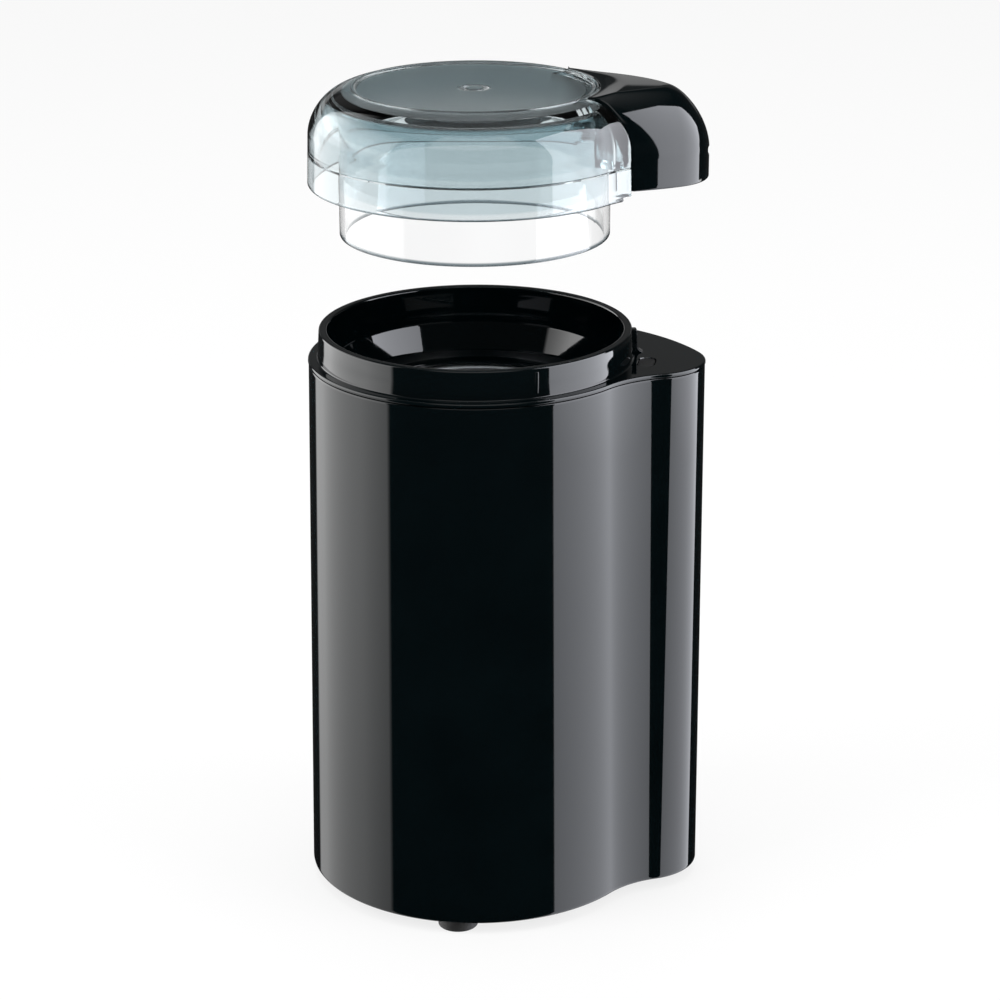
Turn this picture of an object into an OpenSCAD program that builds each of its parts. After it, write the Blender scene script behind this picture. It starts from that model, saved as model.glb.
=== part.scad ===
// Electric coffee grinder with a press bar in its lift-off lid, shown with the lid lifted clear.
// Millimetres, +Z up. The object stands at z = 0, +X points to the nose, -Y is the front.
// The round body's own axis lies at x = axis_x.

/* [Body] */
// Radius of the round body at its lower edge
body_r = 44.5; // [42:0.5:48]
// How much the body narrows from its lower edge to its top
draft = 1.6; // [0.8:0.1:2.4]
// Distance from the round body's axis to the centre of the nose
nose_dist = 43.1; // [41:0.1:46]
// Radius of the nose at the lower edge
nose_r = 15.9; // [14.5:0.1:18]
// Radius of the hollow necks where the round body runs into the nose
neck_r = 25; // [20:1:30]
// Radius of the nose's flatter back side
back_r = 57.5; // [50:0.5:65]
// Direction from the nose's centre in which its end turns into the back side, in degrees
back_turn = 28.7; // [22:0.1:36]
// Height of the housing without its feet
housing_h = 139.2; // [134:0.2:146]
// Wall of the housing
wall = 2.2; // [1.6:0.1:2.8]
// Direction of the notch for the cord in the lower edge, in degrees
inlet_turn = 112; // [104:1:120]
// Width of that notch
inlet_w = 7; // [6:0.5:9]
// Height of that notch above the base plate
inlet_h = 6.5; // [5.5:0.5:9]

/* [Base] */
// Height of the rubber feet
foot_h = 3; // [2:0.5:5]
// Radius of a foot
foot_r = 5.2; // [4:0.1:6]
// Distance of the feet from the body's axis
foot_ring = 38.7; // [34:0.1:39]
// Turn of the ring of feet from straight ahead, in degrees
foot_turn = -2.6; // [-6:0.2:6]
// Thickness of the base plate
base_t = 3; // [2.5:0.1:4]
// Number of vent slots in the base plate
vent_count = 16; // [8:2:20]
// Width of a vent slot
vent_w = 2.4; // [1.5:0.1:3]

/* [Top cover] */
// Thickness of the deck
deck_t = 1.2; // [1:0.1:2]
// How far the deck's edge stands out over the housing
deck_lip = 0.15; // [0:0.05:0.4]
// Radius of the collar at its rim
collar_r = 40.2; // [39.6:0.1:40.6]
// Height of the collar above the deck
collar_h = 7.6; // [6:0.1:9]
// Wall of the collar at its rim
collar_t = 2.2; // [1.8:0.1:2.6]
// Direction of the first rib on the collar, in degrees
rib_turn = -63; // [-75:1:-50]
// Direction of the guide ridge beside the switch slot, in degrees
ridge_turn = 8.4; // [6:0.2:12]
// Depth of the bowl's rim below the deck
bowl_drop = 13.2; // [12:0.1:16]
// Length of the straight wall below the collar's rim, above the funnel's cone
funnel_wall = 9.8; // [8.5:0.1:11]
// Slope of the funnel's cone from upright, in degrees
funnel_slope = 21.5; // [18:0.5:26]

/* [Bowl and blade] */
// Inner radius of the steel bowl at its rim
bowl_r = 32.6; // [31.8:0.1:32.8]
// Sheet of the steel bowl
bowl_t = 0.7; // [0.5:0.1:1]
// Depth of the bowl inside
bowl_depth = 32; // [28:0.5:36]
// Length of the blade from the shaft's axis to a tip
blade_l = 27; // [22:0.5:28]
// Thickness of the blade
blade_t = 1.6; // [1.2:0.1:2]
// Rise of the blade's tips, in degrees
blade_rise = 22; // [10:1:30]

/* [Lid] */
// Height of the lifted lid above its closed place
lid_open = 45.5; // [40:0.5:60]
// How much narrower the lid is than the body's top
lid_inset = 0.7; // [0.6:0.1:1]
// Height of the lid from its lower edge to its flat top
lid_h = 24.2; // [23:0.1:26]
// Height of the lid's upright skirt
skirt_h = 12.6; // [12:0.1:14]
// Radius of the raised line round the flat top
disc_r = 30.6; // [29.6:0.1:31]
// Wall of the lid
lid_t = 2.2; // [1.8:0.1:2.4]
// Outer radius of the tube inside the lid
tube_r = 34.3; // [34:0.1:34.4]
// Wall of that tube
tube_t = 1.5; // [1.2:0.1:1.6]
// How far the tube hangs below the lid's skirt
tube_drop = 13.2; // [12:0.1:13.4]

/* [Press bar and switch] */
// Direction of the press bar's near side, in degrees
bar_near = -23; // [-25:0.5:-21]
// Direction of the press bar's far side, in degrees
bar_far = 46; // [40:1:48]
// Height of the press bar's lower edge above the lid's lower edge
bar_gap = 2.2; // [1.8:0.1:2.6]
// Height of the press bar's upright sides
bar_side_h = 10; // [9:0.1:12]
// Travel of the press bar
bar_travel = 1.3; // [0.9:0.1:1.3]
// Wall of the press bar
bar_t = 1.8; // [1.4:0.1:2]
// Distance of the switch slot from the body's axis
slot_dist = 44.3; // [43.8:0.1:45]
// Direction of the switch slot, in degrees
slot_turn = -4.6; // [-6:0.2:-3]
// Width of the switch slot
slot_w = 4.4; // [4.2:0.1:4.8]
// Length of the switch slot
slot_l = 8; // [7.4:0.1:9]

/* [Motor] */
// Radius of the motor's shaft
shaft_r = 4; // [3.5:0.1:4.5]
// Radius of the armature
armature_r = 14.3; // [13:0.1:14.5]
// Height of the stack of laminations
stack_h = 24; // [20:0.5:26]
// Height of the middle of that stack above the table
stack_z = 54; // [53:0.5:56]
// Radius of the stator
stator_r = 33; // [31:0.5:34]
// Number of armature slots
armature_slots = 12; // [8:1:14]
// Number of fan blades
fan_blades = 9; // [6:1:12]

/* [Hidden] */
$fn = 96;

// Clearances
fit_gap = 0.25;      // between moulded pieces that slip together
close_gap = 0.05;    // between a screw, stud or core and its hole
run_gap = 0.04;      // radial, between a shaft and its bush
slide_gap = 0.35;    // between pieces that move past each other
seat_gap = 0.1;      // under a piece that rests on another body
eps = 0.02;          // overlap of two solids that are joined
over = 1;            // overshoot of a cut past a face
tip_gap = 1;         // between a screw's tip and the end of its hole

// Levels of the fixed body
base_z = foot_h + base_t;
housing_top = foot_h + housing_h;
deck_z = housing_top + deck_t;
rim_z = deck_z + collar_h;
bowl_z = deck_z - bowl_drop;
floor_z = bowl_z - bowl_depth;
axis_x = -(nose_dist + nose_r + deck_lip - body_r) / 2;

// Collar, funnel and barrel
collar_in = collar_r - collar_t;
collar_flare = 0.4;
rim_round = 0.4;
gasket_t = 0.6;
flange_t = bowl_t;
flange_w = 1.1;
flange_r = bowl_r + bowl_t + flange_w;
seat_z = bowl_z - flange_t - gasket_t;
barrel_gap = 0.4;
barrel_in = bowl_r + bowl_t + barrel_gap;
barrel_t = 2.2;
barrel_out = barrel_in + barrel_t;
barrel_flare = 3;
recess_r = flange_r + fit_gap;
cone_lift = 0.6;
cone_step = 0.4;
cone_low_z = bowl_z + cone_lift;
cone_low_r = max(recess_r, tube_r + slide_gap) + seat_gap;
cone_top_z = rim_z - funnel_wall;
cone_top_r = collar_in - cone_step;
cone_foot_z = cone_top_z - (cone_top_r - cone_low_r) / tan(funnel_slope);
funnel_t = 2;
register_h = 5;
register_t = 1.5;
rib_count = 3;
rib_w = 1;
rib_out = 0.35;
ridge_w = 3;
ridge_out = 1.6;
ridge_h = collar_h - 1.6;
ridge_foot = 3;
ridge_flare = 2.2;
rib_h = collar_h - 1;
weld = 1;

// Motor levels, worked out from the stack of laminations
stack_low = stack_z - stack_h / 2;
stack_top = stack_z + stack_h / 2;
turn_h = 5.5;
turn_round = 1.6;
turn_step = 1.2;
turn_gap = 0.2;
coil_top = stack_top + turn_h;
fan_low = coil_top + 2;
fan_h = 6;
fan_hub = 8;
fan_plate = 1.4;
fan_sweep = 24;
fan_gap = 1.5;
vane_t = 1.2;
boss_gap = 1.2;
bracket_boss_low = fan_low + fan_h + boss_gap;
bracket_t = 4;
bracket_low = bracket_boss_low + 3;
barrel_low = bracket_low + bracket_t;
bearing_h = 11;
bearing_r = 6.5;
bearing_wall = 2.5;
bolt_cover = 1;
bolt_tip = 0.5;
comm_r = 9;
comm_h = 10;
comm_gap = 1.5;
comm_slit = 0.5;
comm_slit_d = 0.8;
core_slot_w = 2.2;
core_slot_d = 5;
comm_top = stack_low - turn_h - comm_gap;
comm_low = comm_top - comm_h;
bridge_t = 3;
bridge_top = comm_low - comm_gap;
bridge_low = bridge_top - bridge_t;
journal_r = shaft_r - 1;
low_bearing_h = 9;
low_bearing_r = 5.5;
shaft_tail = 1;
shaft_low = bridge_top - low_bearing_h - shaft_tail;
bolt_r = 1.75;
bolt_edge = 4.5;
bolt_x = stator_r - bolt_edge;
bolt_head_r = 3.2;
bolt_head_h = 2.4;
leg_r = 4;
air_hole_count = 6;
air_hole_r = 4.5;
air_hole_ring = bolt_x - leg_r - air_hole_r;
air_gap = 0.7;
bore_r = armature_r + air_gap;
coil_in = bore_r + 0.6;
coil_out = coil_in + 4.4;
window_x = 0.8 * bore_r;
window_w = bolt_x - 2 * bolt_r - window_x;
coil_a = 16;
coil_b = acos((window_x + fit_gap) / coil_in);
window_h = 2 * bore_r;
stator_flat = 6;
stator_w = 2 * (stator_r - stator_flat);

// Brushes lie along the Y axis at the middle of the commutator
brush_w = 5.6;
brush_h = 7.6;
brush_play = 0.2;
brush_gap = 0.3;
brush_in = comm_r + brush_gap;
brush_l = 9.7;
brush_spring_l = 5.5;
holder_wall = 1.2;
holder_gap = 1.6;
holder_in = comm_r + holder_gap;
holder_out = brush_in + brush_l + brush_spring_l + holder_wall;
brush_z = bridge_top + holder_wall + brush_play + brush_h / 2;

// Bracket lugs hang the motor on the cover's barrel
lug_count = 3;
lug_turn = 90;
lug_r = 3.2;
lug_in = 2.4;
lug_gap = 0.5;
lug_cover = 1.8;
lug_ring = barrel_in - lug_in;
lug_h = floor_z - bowl_t - lug_gap - barrel_low;
lug_screw_r = 1.4;
lug_head_r = 2.8;
lug_head_h = 2.2;
lug_bite = lug_h - lug_cover;

// Shaft end, seal and blade
seal_r = 9;
seal_t = 1.2;
floor_hole = seal_r - 2.5;
blade_lift = 3.2;
shaft_step_z = floor_z + blade_lift;
seal_lip = 1.4;
seal_rise = 1.2;
stud_over = 0.8;
stud_r = shaft_r - 1;
hub_r = 7;
nut_r = 5.2;
nut_h = 4;
blade_w = 11;
blade_tip_w = 7;
blade_flat = 0.62 * blade_l;
blade_shoulder = 1;
blade_lap = 0.6;
tip_cut = 2;
bowl_taper = 1.4;
bowl_bend = 7;

// Lid levels
lid_z = deck_z + seat_gap + lid_open;
skirt_r = body_r - draft - lid_inset;
skirt_taper = 0.3;
skirt_round = 0.6;
step_h = collar_h + 2 * seat_gap;
step_r = collar_in + 1.4;
bore_taper = 0.3;
lid_bore = collar_r + collar_flare + bore_taper;
disc_w = 1;
disc_rise = 0.4;
disc_sink = 0.3;
dome_power = 1.85;
dome_steps = 9;
gate_r = 2.2;
gate_d = 0.3;
gusset = 1;
shoulder_r = skirt_r - skirt_taper;

// Press bar, measured up from the lid's lower edge
ear_t = 2.2;
strip_rise = 2.4;
bar_power = 1.7;
bar_tip_r = 0.8;
shelf_t = 1.8;
shelf_top = step_h + shelf_t;
shelf_r = step_r + weld;
bar_lip_r = disc_r + disc_w / 2 + slide_gap;
ledge_drop = bar_t + bar_travel + slide_gap;
ledge_t = 1.6;
bar_low_in = shelf_top + bar_travel + slide_gap;
bar_wall_in = tube_r + slide_gap;
tongue_h = 2.5;
tongue_w = 3;
tongue_out = 1;
tongue_in = 2.7;
tongue_lift = 3.4;
tongue_r = tube_r + tongue_in;
tongue_z = shelf_top + tongue_lift;
prong_w = 2.4;
prong_l = 6;
prong_rise = 0.3;
grip_r = 1.1;
grip_d = 0.8;
grip_z = 9;
grip_l = 7.5;
post_r = 2.6;
post_near = 27;
post_far = 14;
post_turns = [bar_near + post_near, bar_far - post_far];
bar_spring_l = 6.4;
bar_spring_r = 1.2;
brush_spring_r = 1.9;
wire_r = 0.25;
post_low = shelf_top + bar_spring_l;
post_ring = bar_wall_in + bar_t + slide_gap + bar_spring_r + wire_r;

// Switch below the slot
guide_wall = 1.5;
guide_play = 0.4;
plunger_play = 0.2;
plunger_sink = 0.15;
flange_drop = 8;
stem_r = 1.2;
spring_r = 1.65;
spring_l = 10.5;
switch_plate_t = 1.5;
switch_play = 0.1;
cheek_t = 1.2;
cheek_h = 11;
button_h = 1.8;
button_w = 2.6;
switch_w = 6.5;
switch_l = 17;
switch_h = 10;
switch_shift = 2;
button_sink = 0.8;
terminal_h = 4.5;
terminal_w = 4;
terminal_t = 0.6;
plunger_top = deck_z - plunger_sink;
plunger_flange_top = housing_top - close_gap;
plunger_flange_low = plunger_flange_top - flange_drop;
guide_low = plunger_flange_low - spring_l;
switch_plate_low = guide_low - switch_plate_t;
button_top = switch_plate_low - 2 * slide_gap;
switch_top = button_top - button_h;
plunger_travel = bar_travel - seat_gap - prong_rise - plunger_sink;

// Base screws
screw_in = 3;
screw_ring = body_r - wall - screw_in;
screw_boss_r = 3.6;
screw_boss_h = 12;
screw_r = 1.4;
screw_head_r = 2.8;
screw_head_h = 1.6;
screw_clear = 11.8;
near_turn = -corner(body_r + neck_r, nose_dist, nose_r + neck_r);
nose_back = [nose_dist, 0] - polar(back_r - nose_r, back_turn);
far_turn = angle_to(nose_back) + corner(body_r + neck_r, norm(nose_back), back_r + neck_r);
screw_turns = [far_turn + screw_clear, 135, 225, near_turn - screw_clear];
screw_bite = 9;
foot_stud_r = 2;
vent_l = 10;

// Points on outlines
function polar(r, a) = [r * cos(a), r * sin(a)];
function angle_to(p) = atan2(p.y, p.x);
function arc(c, r, a0, a1, n) = [for (i = [0:n - 1]) c + polar(r, a0 + (a1 - a0) * i / n)];
// Angle, at the end of side a, in a triangle of sides a and b with side c opposite
function corner(a, b, c) = acos((a * a + b * b - c * c) / (2 * a * b));

// Outline of the body, cut in by "inset", with its nose pushed out by "lean".
// Steps are the counts along the round body, a neck, the nose's end and its back side.
fine = [72, 9, 22, 12];
coarse = [14, 5, 14, 9];
function body_outline(inset, lean, steps) =
  let (
    nose = [nose_dist + lean, 0],
    reach = body_r + neck_r,
    near_a = -corner(reach, nose.x, nose_r + neck_r),
    near = polar(reach, near_a),
    near_n = angle_to(near - nose),
    back = nose - polar(back_r - nose_r, back_turn),
    far_a = angle_to(back) + corner(reach, norm(back), back_r + neck_r),
    far = polar(reach, far_a),
    far_b = angle_to(far - back)
  )
  concat(
    arc([0, 0], body_r - inset, far_a, 360 + near_a, steps[0]),
    arc(near, neck_r + inset, 180 + near_a, 180 + near_n, steps[1]),
    arc(nose, nose_r - inset, near_n, back_turn, steps[2]),
    arc(back, back_r - inset, back_turn, far_b, steps[3]),
    arc(far, neck_r + inset, 180 + far_b, 180 + far_a, steps[1])
  );

// Solid through a stack of outlines that have as many points each
module loft(rings, levels) {
  n = len(rings[0]);
  last = len(rings) - 1;
  points = [for (k = [0:last]) for (p = rings[k]) [p.x, p.y, levels[k]]];
  sides = [for (k = [0:last - 1]) for (i = [0:n - 1])
    let (a = k * n + i, b = k * n + (i + 1) % n)
    each [[a, a + n, b + n], [a, b + n, b]]];
  low = [for (i = [0:n - 1]) i];
  top = [for (i = [n - 1:-1:0]) last * n + i];
  polyhedron(points, concat(sides, [low, top]));
}

// Helical wire from z0 up to z1 as one tube
function helix_point(r, z0, z1, turns, t) =
  [r * cos(360 * turns * t), r * sin(360 * turns * t), z0 + (z1 - z0) * t];
module spring(r, z0, z1, turns) {
  rings = 8 * turns;
  sides = 6;
  points = [for (k = [0:rings]) let (t = k / rings, a = 360 * turns * t)
    for (s = [0:sides - 1]) let (b = 360 * s / sides)
      helix_point(r, z0 + wire_r, z1 - wire_r, turns, t)
        + wire_r * (cos(b) * [cos(a), sin(a), 0] + sin(b) * [0, 0, 1])];
  skin = [for (k = [0:rings - 1]) for (s = [0:sides - 1])
    let (a = k * sides + s, b = k * sides + (s + 1) % sides)
    each [[a, b + sides, a + sides], [a, b, b + sides]]];
  low = [for (s = [sides - 1:-1:0]) s];
  top = [for (s = [0:sides - 1]) rings * sides + s];
  polyhedron(points, concat(skin, [low, top]));
}

// Slab between two directions seen from the body's axis, its sides moved out by "grow"
module wedge(grow, z0, z1) {
  middle = (bar_near + bar_far) / 2;
  half = (bar_far - bar_near) / 2;
  tip = -polar(grow / sin(half), middle);
  far = 3 * body_r;
  translate([0, 0, z0])
    linear_extrude(z1 - z0)
      polygon([tip, tip + polar(far, bar_near), tip + polar(far, middle), tip + polar(far, bar_far)]);
}

module ring(r_out, r_in, z0, z1) {
  translate([0, 0, z0])
    difference() {
      cylinder(r = r_out, h = z1 - z0);
      translate([0, 0, -eps])
        cylinder(r = r_in, h = z1 - z0 + 2 * eps);
    }
}

module rod(r, z0, z1) {
  translate([0, 0, z0])
    cylinder(r = r, h = z1 - z0);
}

// Slab with round ends, lying along Y
module stadium(w, l, z0, z1) {
  translate([0, 0, z0])
    linear_extrude(z1 - z0)
      union() {
        square([w, l - w], center = true);
        for (side = [-1, 1])
          translate([0, side * (l - w) / 2])
            circle(d = w);
      }
}

module on_axis() {
  translate([axis_x, 0, 0])
    children();
}

module at_slot() {
  rotate(slot_turn)
    translate([slot_dist, 0, 0])
      children();
}

module at_screws() {
  for (turn = screw_turns)
    rotate(turn)
      translate([screw_ring, 0, 0])
        children();
}

module around(count, turn, r) {
  for (i = [0:count - 1])
    rotate(turn + 360 * i / count)
      translate([r, 0, 0])
        children();
}

// Body shell

module body_space(inset, over) {
  loft([body_outline(inset, 0, fine), body_outline(inset + draft, draft, fine)],
    [foot_h - over, housing_top + over]);
}

module housing() {
  color("#101214")
    on_axis()
      difference() {
        union() {
          difference() {
            body_space(0, 0);
            body_space(wall, over);
          }
          at_screws()
            rod(screw_boss_r, base_z, base_z + screw_boss_h);
        }
        at_screws()
          rod(screw_r, base_z - eps, base_z + screw_bite);
        cord_notch();
      }
}

module cord_notch() {
  rotate(inlet_turn)
    translate([body_r - 3 * wall, 0, 0]) {
      translate([0, -inlet_w / 2, foot_h - over])
        cube([4 * wall, inlet_w, base_t + inlet_h - inlet_w / 2 + over]);
      translate([0, 0, base_z + inlet_h - inlet_w / 2])
        rotate([0, 90, 0])
          cylinder(d = inlet_w, h = 4 * wall);
    }
}

module base_plate() {
  vent_in = foot_ring - foot_r - vent_l - 3 * vent_w;
  color("#17191b")
    on_axis()
      difference() {
        translate([0, 0, foot_h])
          linear_extrude(base_t)
            polygon(body_outline(wall + fit_gap, 0, fine));
        around(vent_count, 0, vent_in)
          translate([0, -vent_w / 2, foot_h - eps])
            cube([vent_l, vent_w, base_t + 2 * eps]);
        at_screws() {
          rod(screw_r + close_gap, foot_h - eps, base_z + eps);
          rod(screw_head_r + close_gap, foot_h - eps, foot_h + screw_head_h);
        }
        around(4, foot_turn - 90, foot_ring)
          rod(foot_stud_r + close_gap, foot_h - eps, base_z + eps);
      }
}

module base_screws() {
  color("silver")
    on_axis()
      at_screws() {
        rod(screw_head_r, foot_h, foot_h + screw_head_h);
        rod(screw_r - close_gap, foot_h, base_z + screw_bite - tip_gap);
      }
}

module feet() {
  color("#1c1c1c")
    on_axis()
      around(4, foot_turn - 90, foot_ring) {
        rod(foot_r, 0, foot_h);
        rod(foot_stud_r, foot_h, base_z);
      }
}

// Top cover with collar, funnel and barrel

module top_cover() {
  color("#14171a")
    on_axis()
      difference() {
        union() {
          deck();
          register_rim();
          funnel();
          around(rib_count, rib_turn, collar_r - weld)
            translate([0, -rib_w / 2, deck_z - eps])
              cube([weld + rib_out, rib_w, rib_h]);
          rotate(ridge_turn)
            translate([collar_r, ridge_w / 2, deck_z - eps])
              rotate([90, 0, 0])
                linear_extrude(ridge_w)
                  polygon([[-weld, 0], [ridge_foot, 0], [ridge_out, ridge_flare],
                    [ridge_out, ridge_h], [-weld, ridge_h]]);
          around(lug_count, lug_turn, lug_ring)
            rod(lug_r, barrel_low, barrel_low + lug_h);
          at_slot()
            stadium(slot_w + guide_play + 2 * guide_wall, slot_l + guide_play + 2 * guide_wall,
              guide_low, housing_top + eps);
        }
        around(lug_count, lug_turn, lug_ring)
          rod(lug_screw_r, barrel_low - eps, barrel_low + lug_bite);
        at_slot() {
          stadium(slot_w, slot_l, housing_top - over, deck_z + over);
          stadium(slot_w + guide_play, slot_l + guide_play, guide_low - over, housing_top);
        }
      }
}

module deck() {
  edge = draft - deck_lip;
  bevel = 0.4;
  difference() {
    loft([body_outline(edge, draft, fine), body_outline(edge, draft, fine),
      body_outline(edge + bevel, draft, fine)],
      [housing_top, deck_z - bevel, deck_z]);
    rod(collar_in, housing_top - over, deck_z + over);
  }
}

module register_rim() {
  inset = draft + wall + fit_gap;
  translate([0, 0, housing_top - register_h])
    linear_extrude(register_h + eps)
      difference() {
        polygon(body_outline(inset, draft, fine));
        polygon(body_outline(inset + register_t, draft, fine));
      }
}

module funnel() {
  rotate_extrude()
    polygon([
      [barrel_in, barrel_low], [barrel_out, barrel_low], [barrel_out, seat_z - barrel_flare],
      [cone_low_r + funnel_t, cone_low_z], [cone_top_r + funnel_t, cone_top_z],
      [cone_top_r + funnel_t, housing_top], [collar_r + collar_flare, housing_top],
      [collar_r + collar_flare, deck_z], [collar_r, rim_z - rim_round],
      [collar_r - rim_round, rim_z], [collar_in + rim_round, rim_z], [collar_in, rim_z - rim_round],
      [cone_top_r, cone_top_z], [cone_low_r, cone_foot_z], [cone_low_r, cone_low_z],
      [recess_r, cone_low_z], [recess_r, seat_z], [barrel_in, seat_z]]);
}

// Grinding bowl and blade

module steel_bowl() {
  low_r = bowl_r - bowl_taper;
  bend = bowl_bend;
  corner_c = [low_r - bend, floor_z + bend];
  color("#c9ccd0")
    on_axis()
      rotate_extrude()
        polygon(concat(
          [[floor_hole, floor_z - bowl_t], [low_r - bend, floor_z - bowl_t]],
          arc(corner_c, bend + bowl_t, -90, 0, 8),
          [[low_r + bowl_t, floor_z + bend], [bowl_r + bowl_t, bowl_z - flange_t],
            [flange_r, bowl_z - flange_t], [flange_r, bowl_z], [bowl_r, bowl_z],
            [low_r, floor_z + bend]],
          [for (i = [1:8]) corner_c + polar(bend, -90 * i / 8)],
          [[floor_hole, floor_z]]));
}

module bowl_gasket() {
  color("#202224")
    on_axis()
      ring(flange_r, barrel_in, seat_z, seat_z + gasket_t);
}

module shaft_seal() {
  color("#2a2422")
    on_axis()
      rotate_extrude()
        polygon([
          [shaft_r + run_gap, floor_z - bowl_t - seal_t], [seal_r, floor_z - bowl_t - seal_t],
          [seal_r, floor_z - bowl_t], [floor_hole - close_gap, floor_z - bowl_t],
          [floor_hole - close_gap, floor_z], [shaft_r + seal_lip, floor_z + seal_rise],
          [shaft_r + run_gap, floor_z + seal_rise]]);
}

module blade() {
  color("#d4d7da")
    on_axis()
      difference() {
        union() {
          rod(hub_r, shaft_step_z, shaft_step_z + blade_t);
          for (i = [0, 1])
            rotate(180 * i)
              blade_arm();
        }
        rod(stud_r + close_gap, shaft_step_z - over, shaft_step_z + blade_t + over);
      }
}

module blade_arm() {
  tip_l = blade_l - blade_flat;
  root_w = blade_w - 2 * blade_shoulder;
  translate([0, 0, shaft_step_z])
    linear_extrude(blade_t)
      polygon([[0, -blade_w / 2], [blade_flat, -root_w / 2], [blade_flat, root_w / 2],
        [0, blade_w / 2]]);
  translate([blade_flat, 0, shaft_step_z])
    rotate([0, -blade_rise, 0])
      linear_extrude(blade_t)
        polygon([[-blade_lap, -root_w / 2], [tip_l, -blade_tip_w / 2],
          [tip_l - tip_cut, blade_tip_w / 2], [-blade_lap, root_w / 2]]);
}

module blade_nut() {
  low = shaft_step_z + blade_t;
  color("#b9bdc2")
    on_axis()
      difference() {
        rod_hex(nut_r, low, low + nut_h);
        rod(stud_r + close_gap, low - over, low + nut_h + over);
      }
}

module rod_hex(r, z0, z1) {
  translate([0, 0, z0])
    cylinder(r = r, h = z1 - z0, $fn = 6);
}

// Motor

module motor_shaft() {
  color("#aab0b5")
    on_axis() {
      rod(journal_r, shaft_low, comm_low);
      rod(shaft_r, comm_low, shaft_step_z);
      rod(stud_r, shaft_step_z, shaft_step_z + blade_t + nut_h + stud_over);
    }
}

module bearing(r_out, r_in, z0, z1) {
  color("#a8864a")
    on_axis()
      ring(r_out, r_in, z0, z1);
}

module upper_bearing() {
  bearing(bearing_r, shaft_r + run_gap, bracket_boss_low, bracket_boss_low + bearing_h);
}

module lower_bearing() {
  bearing(low_bearing_r, journal_r + run_gap, bridge_top - low_bearing_h, bridge_top);
}

module motor_top_bracket() {
  color("#3a3f45")
    on_axis()
      difference() {
        union() {
          rod(barrel_out, bracket_low, barrel_low);
          rod(bearing_r + bearing_wall, bracket_boss_low, bracket_boss_low + bearing_h);
          around(2, 0, bolt_x)
            rod(leg_r, stack_top, bracket_low + eps);
        }
        rod(bearing_r + close_gap, bracket_boss_low - over, bracket_boss_low + bearing_h + over);
        around(2, 0, bolt_x)
          rod(bolt_r + close_gap, stack_top - over, barrel_low - bolt_cover);
        around(lug_count, lug_turn, lug_ring)
          rod(lug_screw_r + close_gap, bracket_low - over, barrel_low + over);
        around(air_hole_count, 180 / air_hole_count, air_hole_ring)
          rod(air_hole_r, bracket_low - over, barrel_low + over);
      }
}

module bracket_screws() {
  color("silver")
    on_axis()
      around(lug_count, lug_turn, lug_ring) {
        rod(lug_head_r, bracket_low - lug_head_h, bracket_low);
        rod(lug_screw_r - close_gap, bracket_low - lug_head_h, barrel_low + lug_bite - tip_gap);
      }
}

module stator_core() {
  color("#7b8086")
    on_axis()
      translate([0, 0, stack_low])
        linear_extrude(stack_h)
          difference() {
            intersection() {
              circle(r = stator_r);
              square([2 * stator_r + 1, stator_w], center = true);
            }
            circle(r = bore_r);
            for (side = [-1, 1]) {
              translate([side * (window_x + window_w / 2), 0])
                square([window_w, window_h], center = true);
              translate([side * bolt_x, 0])
                circle(r = bolt_r + close_gap);
            }
          }
}

// Flat part of a ring between two directions
module ring_part(r_out, r_in, a0, a1) {
  far = 2 * r_out;
  middle = (a0 + a1) / 2;
  intersection() {
    difference() {
      circle(r = r_out);
      circle(r = r_in);
    }
    polygon([[0, 0], polar(far, a0), polar(far, (a0 + middle) / 2), polar(far, middle),
      polar(far, (a1 + middle) / 2), polar(far, a1)]);
  }
}

module field_coils() {
  color("#a5642c")
    on_axis()
      for (turn = [0, 180])
        rotate(turn) {
          translate([0, 0, stack_low - turn_h])
            linear_extrude(stack_h + 2 * turn_h)
              for (a = [coil_a, 180 - coil_b])
                ring_part(coil_out, coil_in, a, a + coil_b - coil_a);
          for (z = [stack_low - turn_h, stack_top + fit_gap])
            translate([0, 0, z])
              linear_extrude(turn_h - fit_gap)
                ring_part(coil_out, coil_in, coil_a, 180 - coil_a);
        }
}

module motor_bottom_bracket() {
  color("#3a3f45")
    on_axis()
      difference() {
        union() {
          translate([-bolt_x - leg_r, -leg_r * 2, bridge_low])
            cube([2 * (bolt_x + leg_r), leg_r * 4, bridge_t]);
          translate([-leg_r * 2, -holder_out, bridge_low])
            cube([leg_r * 4, 2 * holder_out, bridge_t]);
          rod(low_bearing_r + bearing_wall, bridge_top - low_bearing_h, bridge_top);
          around(2, 0, bolt_x)
            rod(leg_r, bridge_low, stack_low);
        }
        rod(low_bearing_r + close_gap, bridge_top - low_bearing_h - over, bridge_top + over);
        around(2, 0, bolt_x)
          rod(bolt_r + close_gap, bridge_low - over, stack_low + over);
      }
}

module motor_screws() {
  color("silver")
    on_axis()
      around(2, 0, bolt_x) {
        rod(bolt_head_r, bridge_low - bolt_head_h, bridge_low);
        rod(bolt_r, bridge_low - bolt_head_h, barrel_low - bolt_cover - bolt_tip);
      }
}

module armature_core() {
  color("#868b90")
    on_axis()
      translate([0, 0, stack_low])
        linear_extrude(stack_h)
          difference() {
            circle(r = armature_r);
            circle(r = shaft_r + close_gap);
            for (i = [0:armature_slots - 1])
              rotate(360 * i / armature_slots)
                translate([armature_r - core_slot_d, -core_slot_w / 2])
                  square([core_slot_d + over, core_slot_w]);
          }
}

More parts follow.
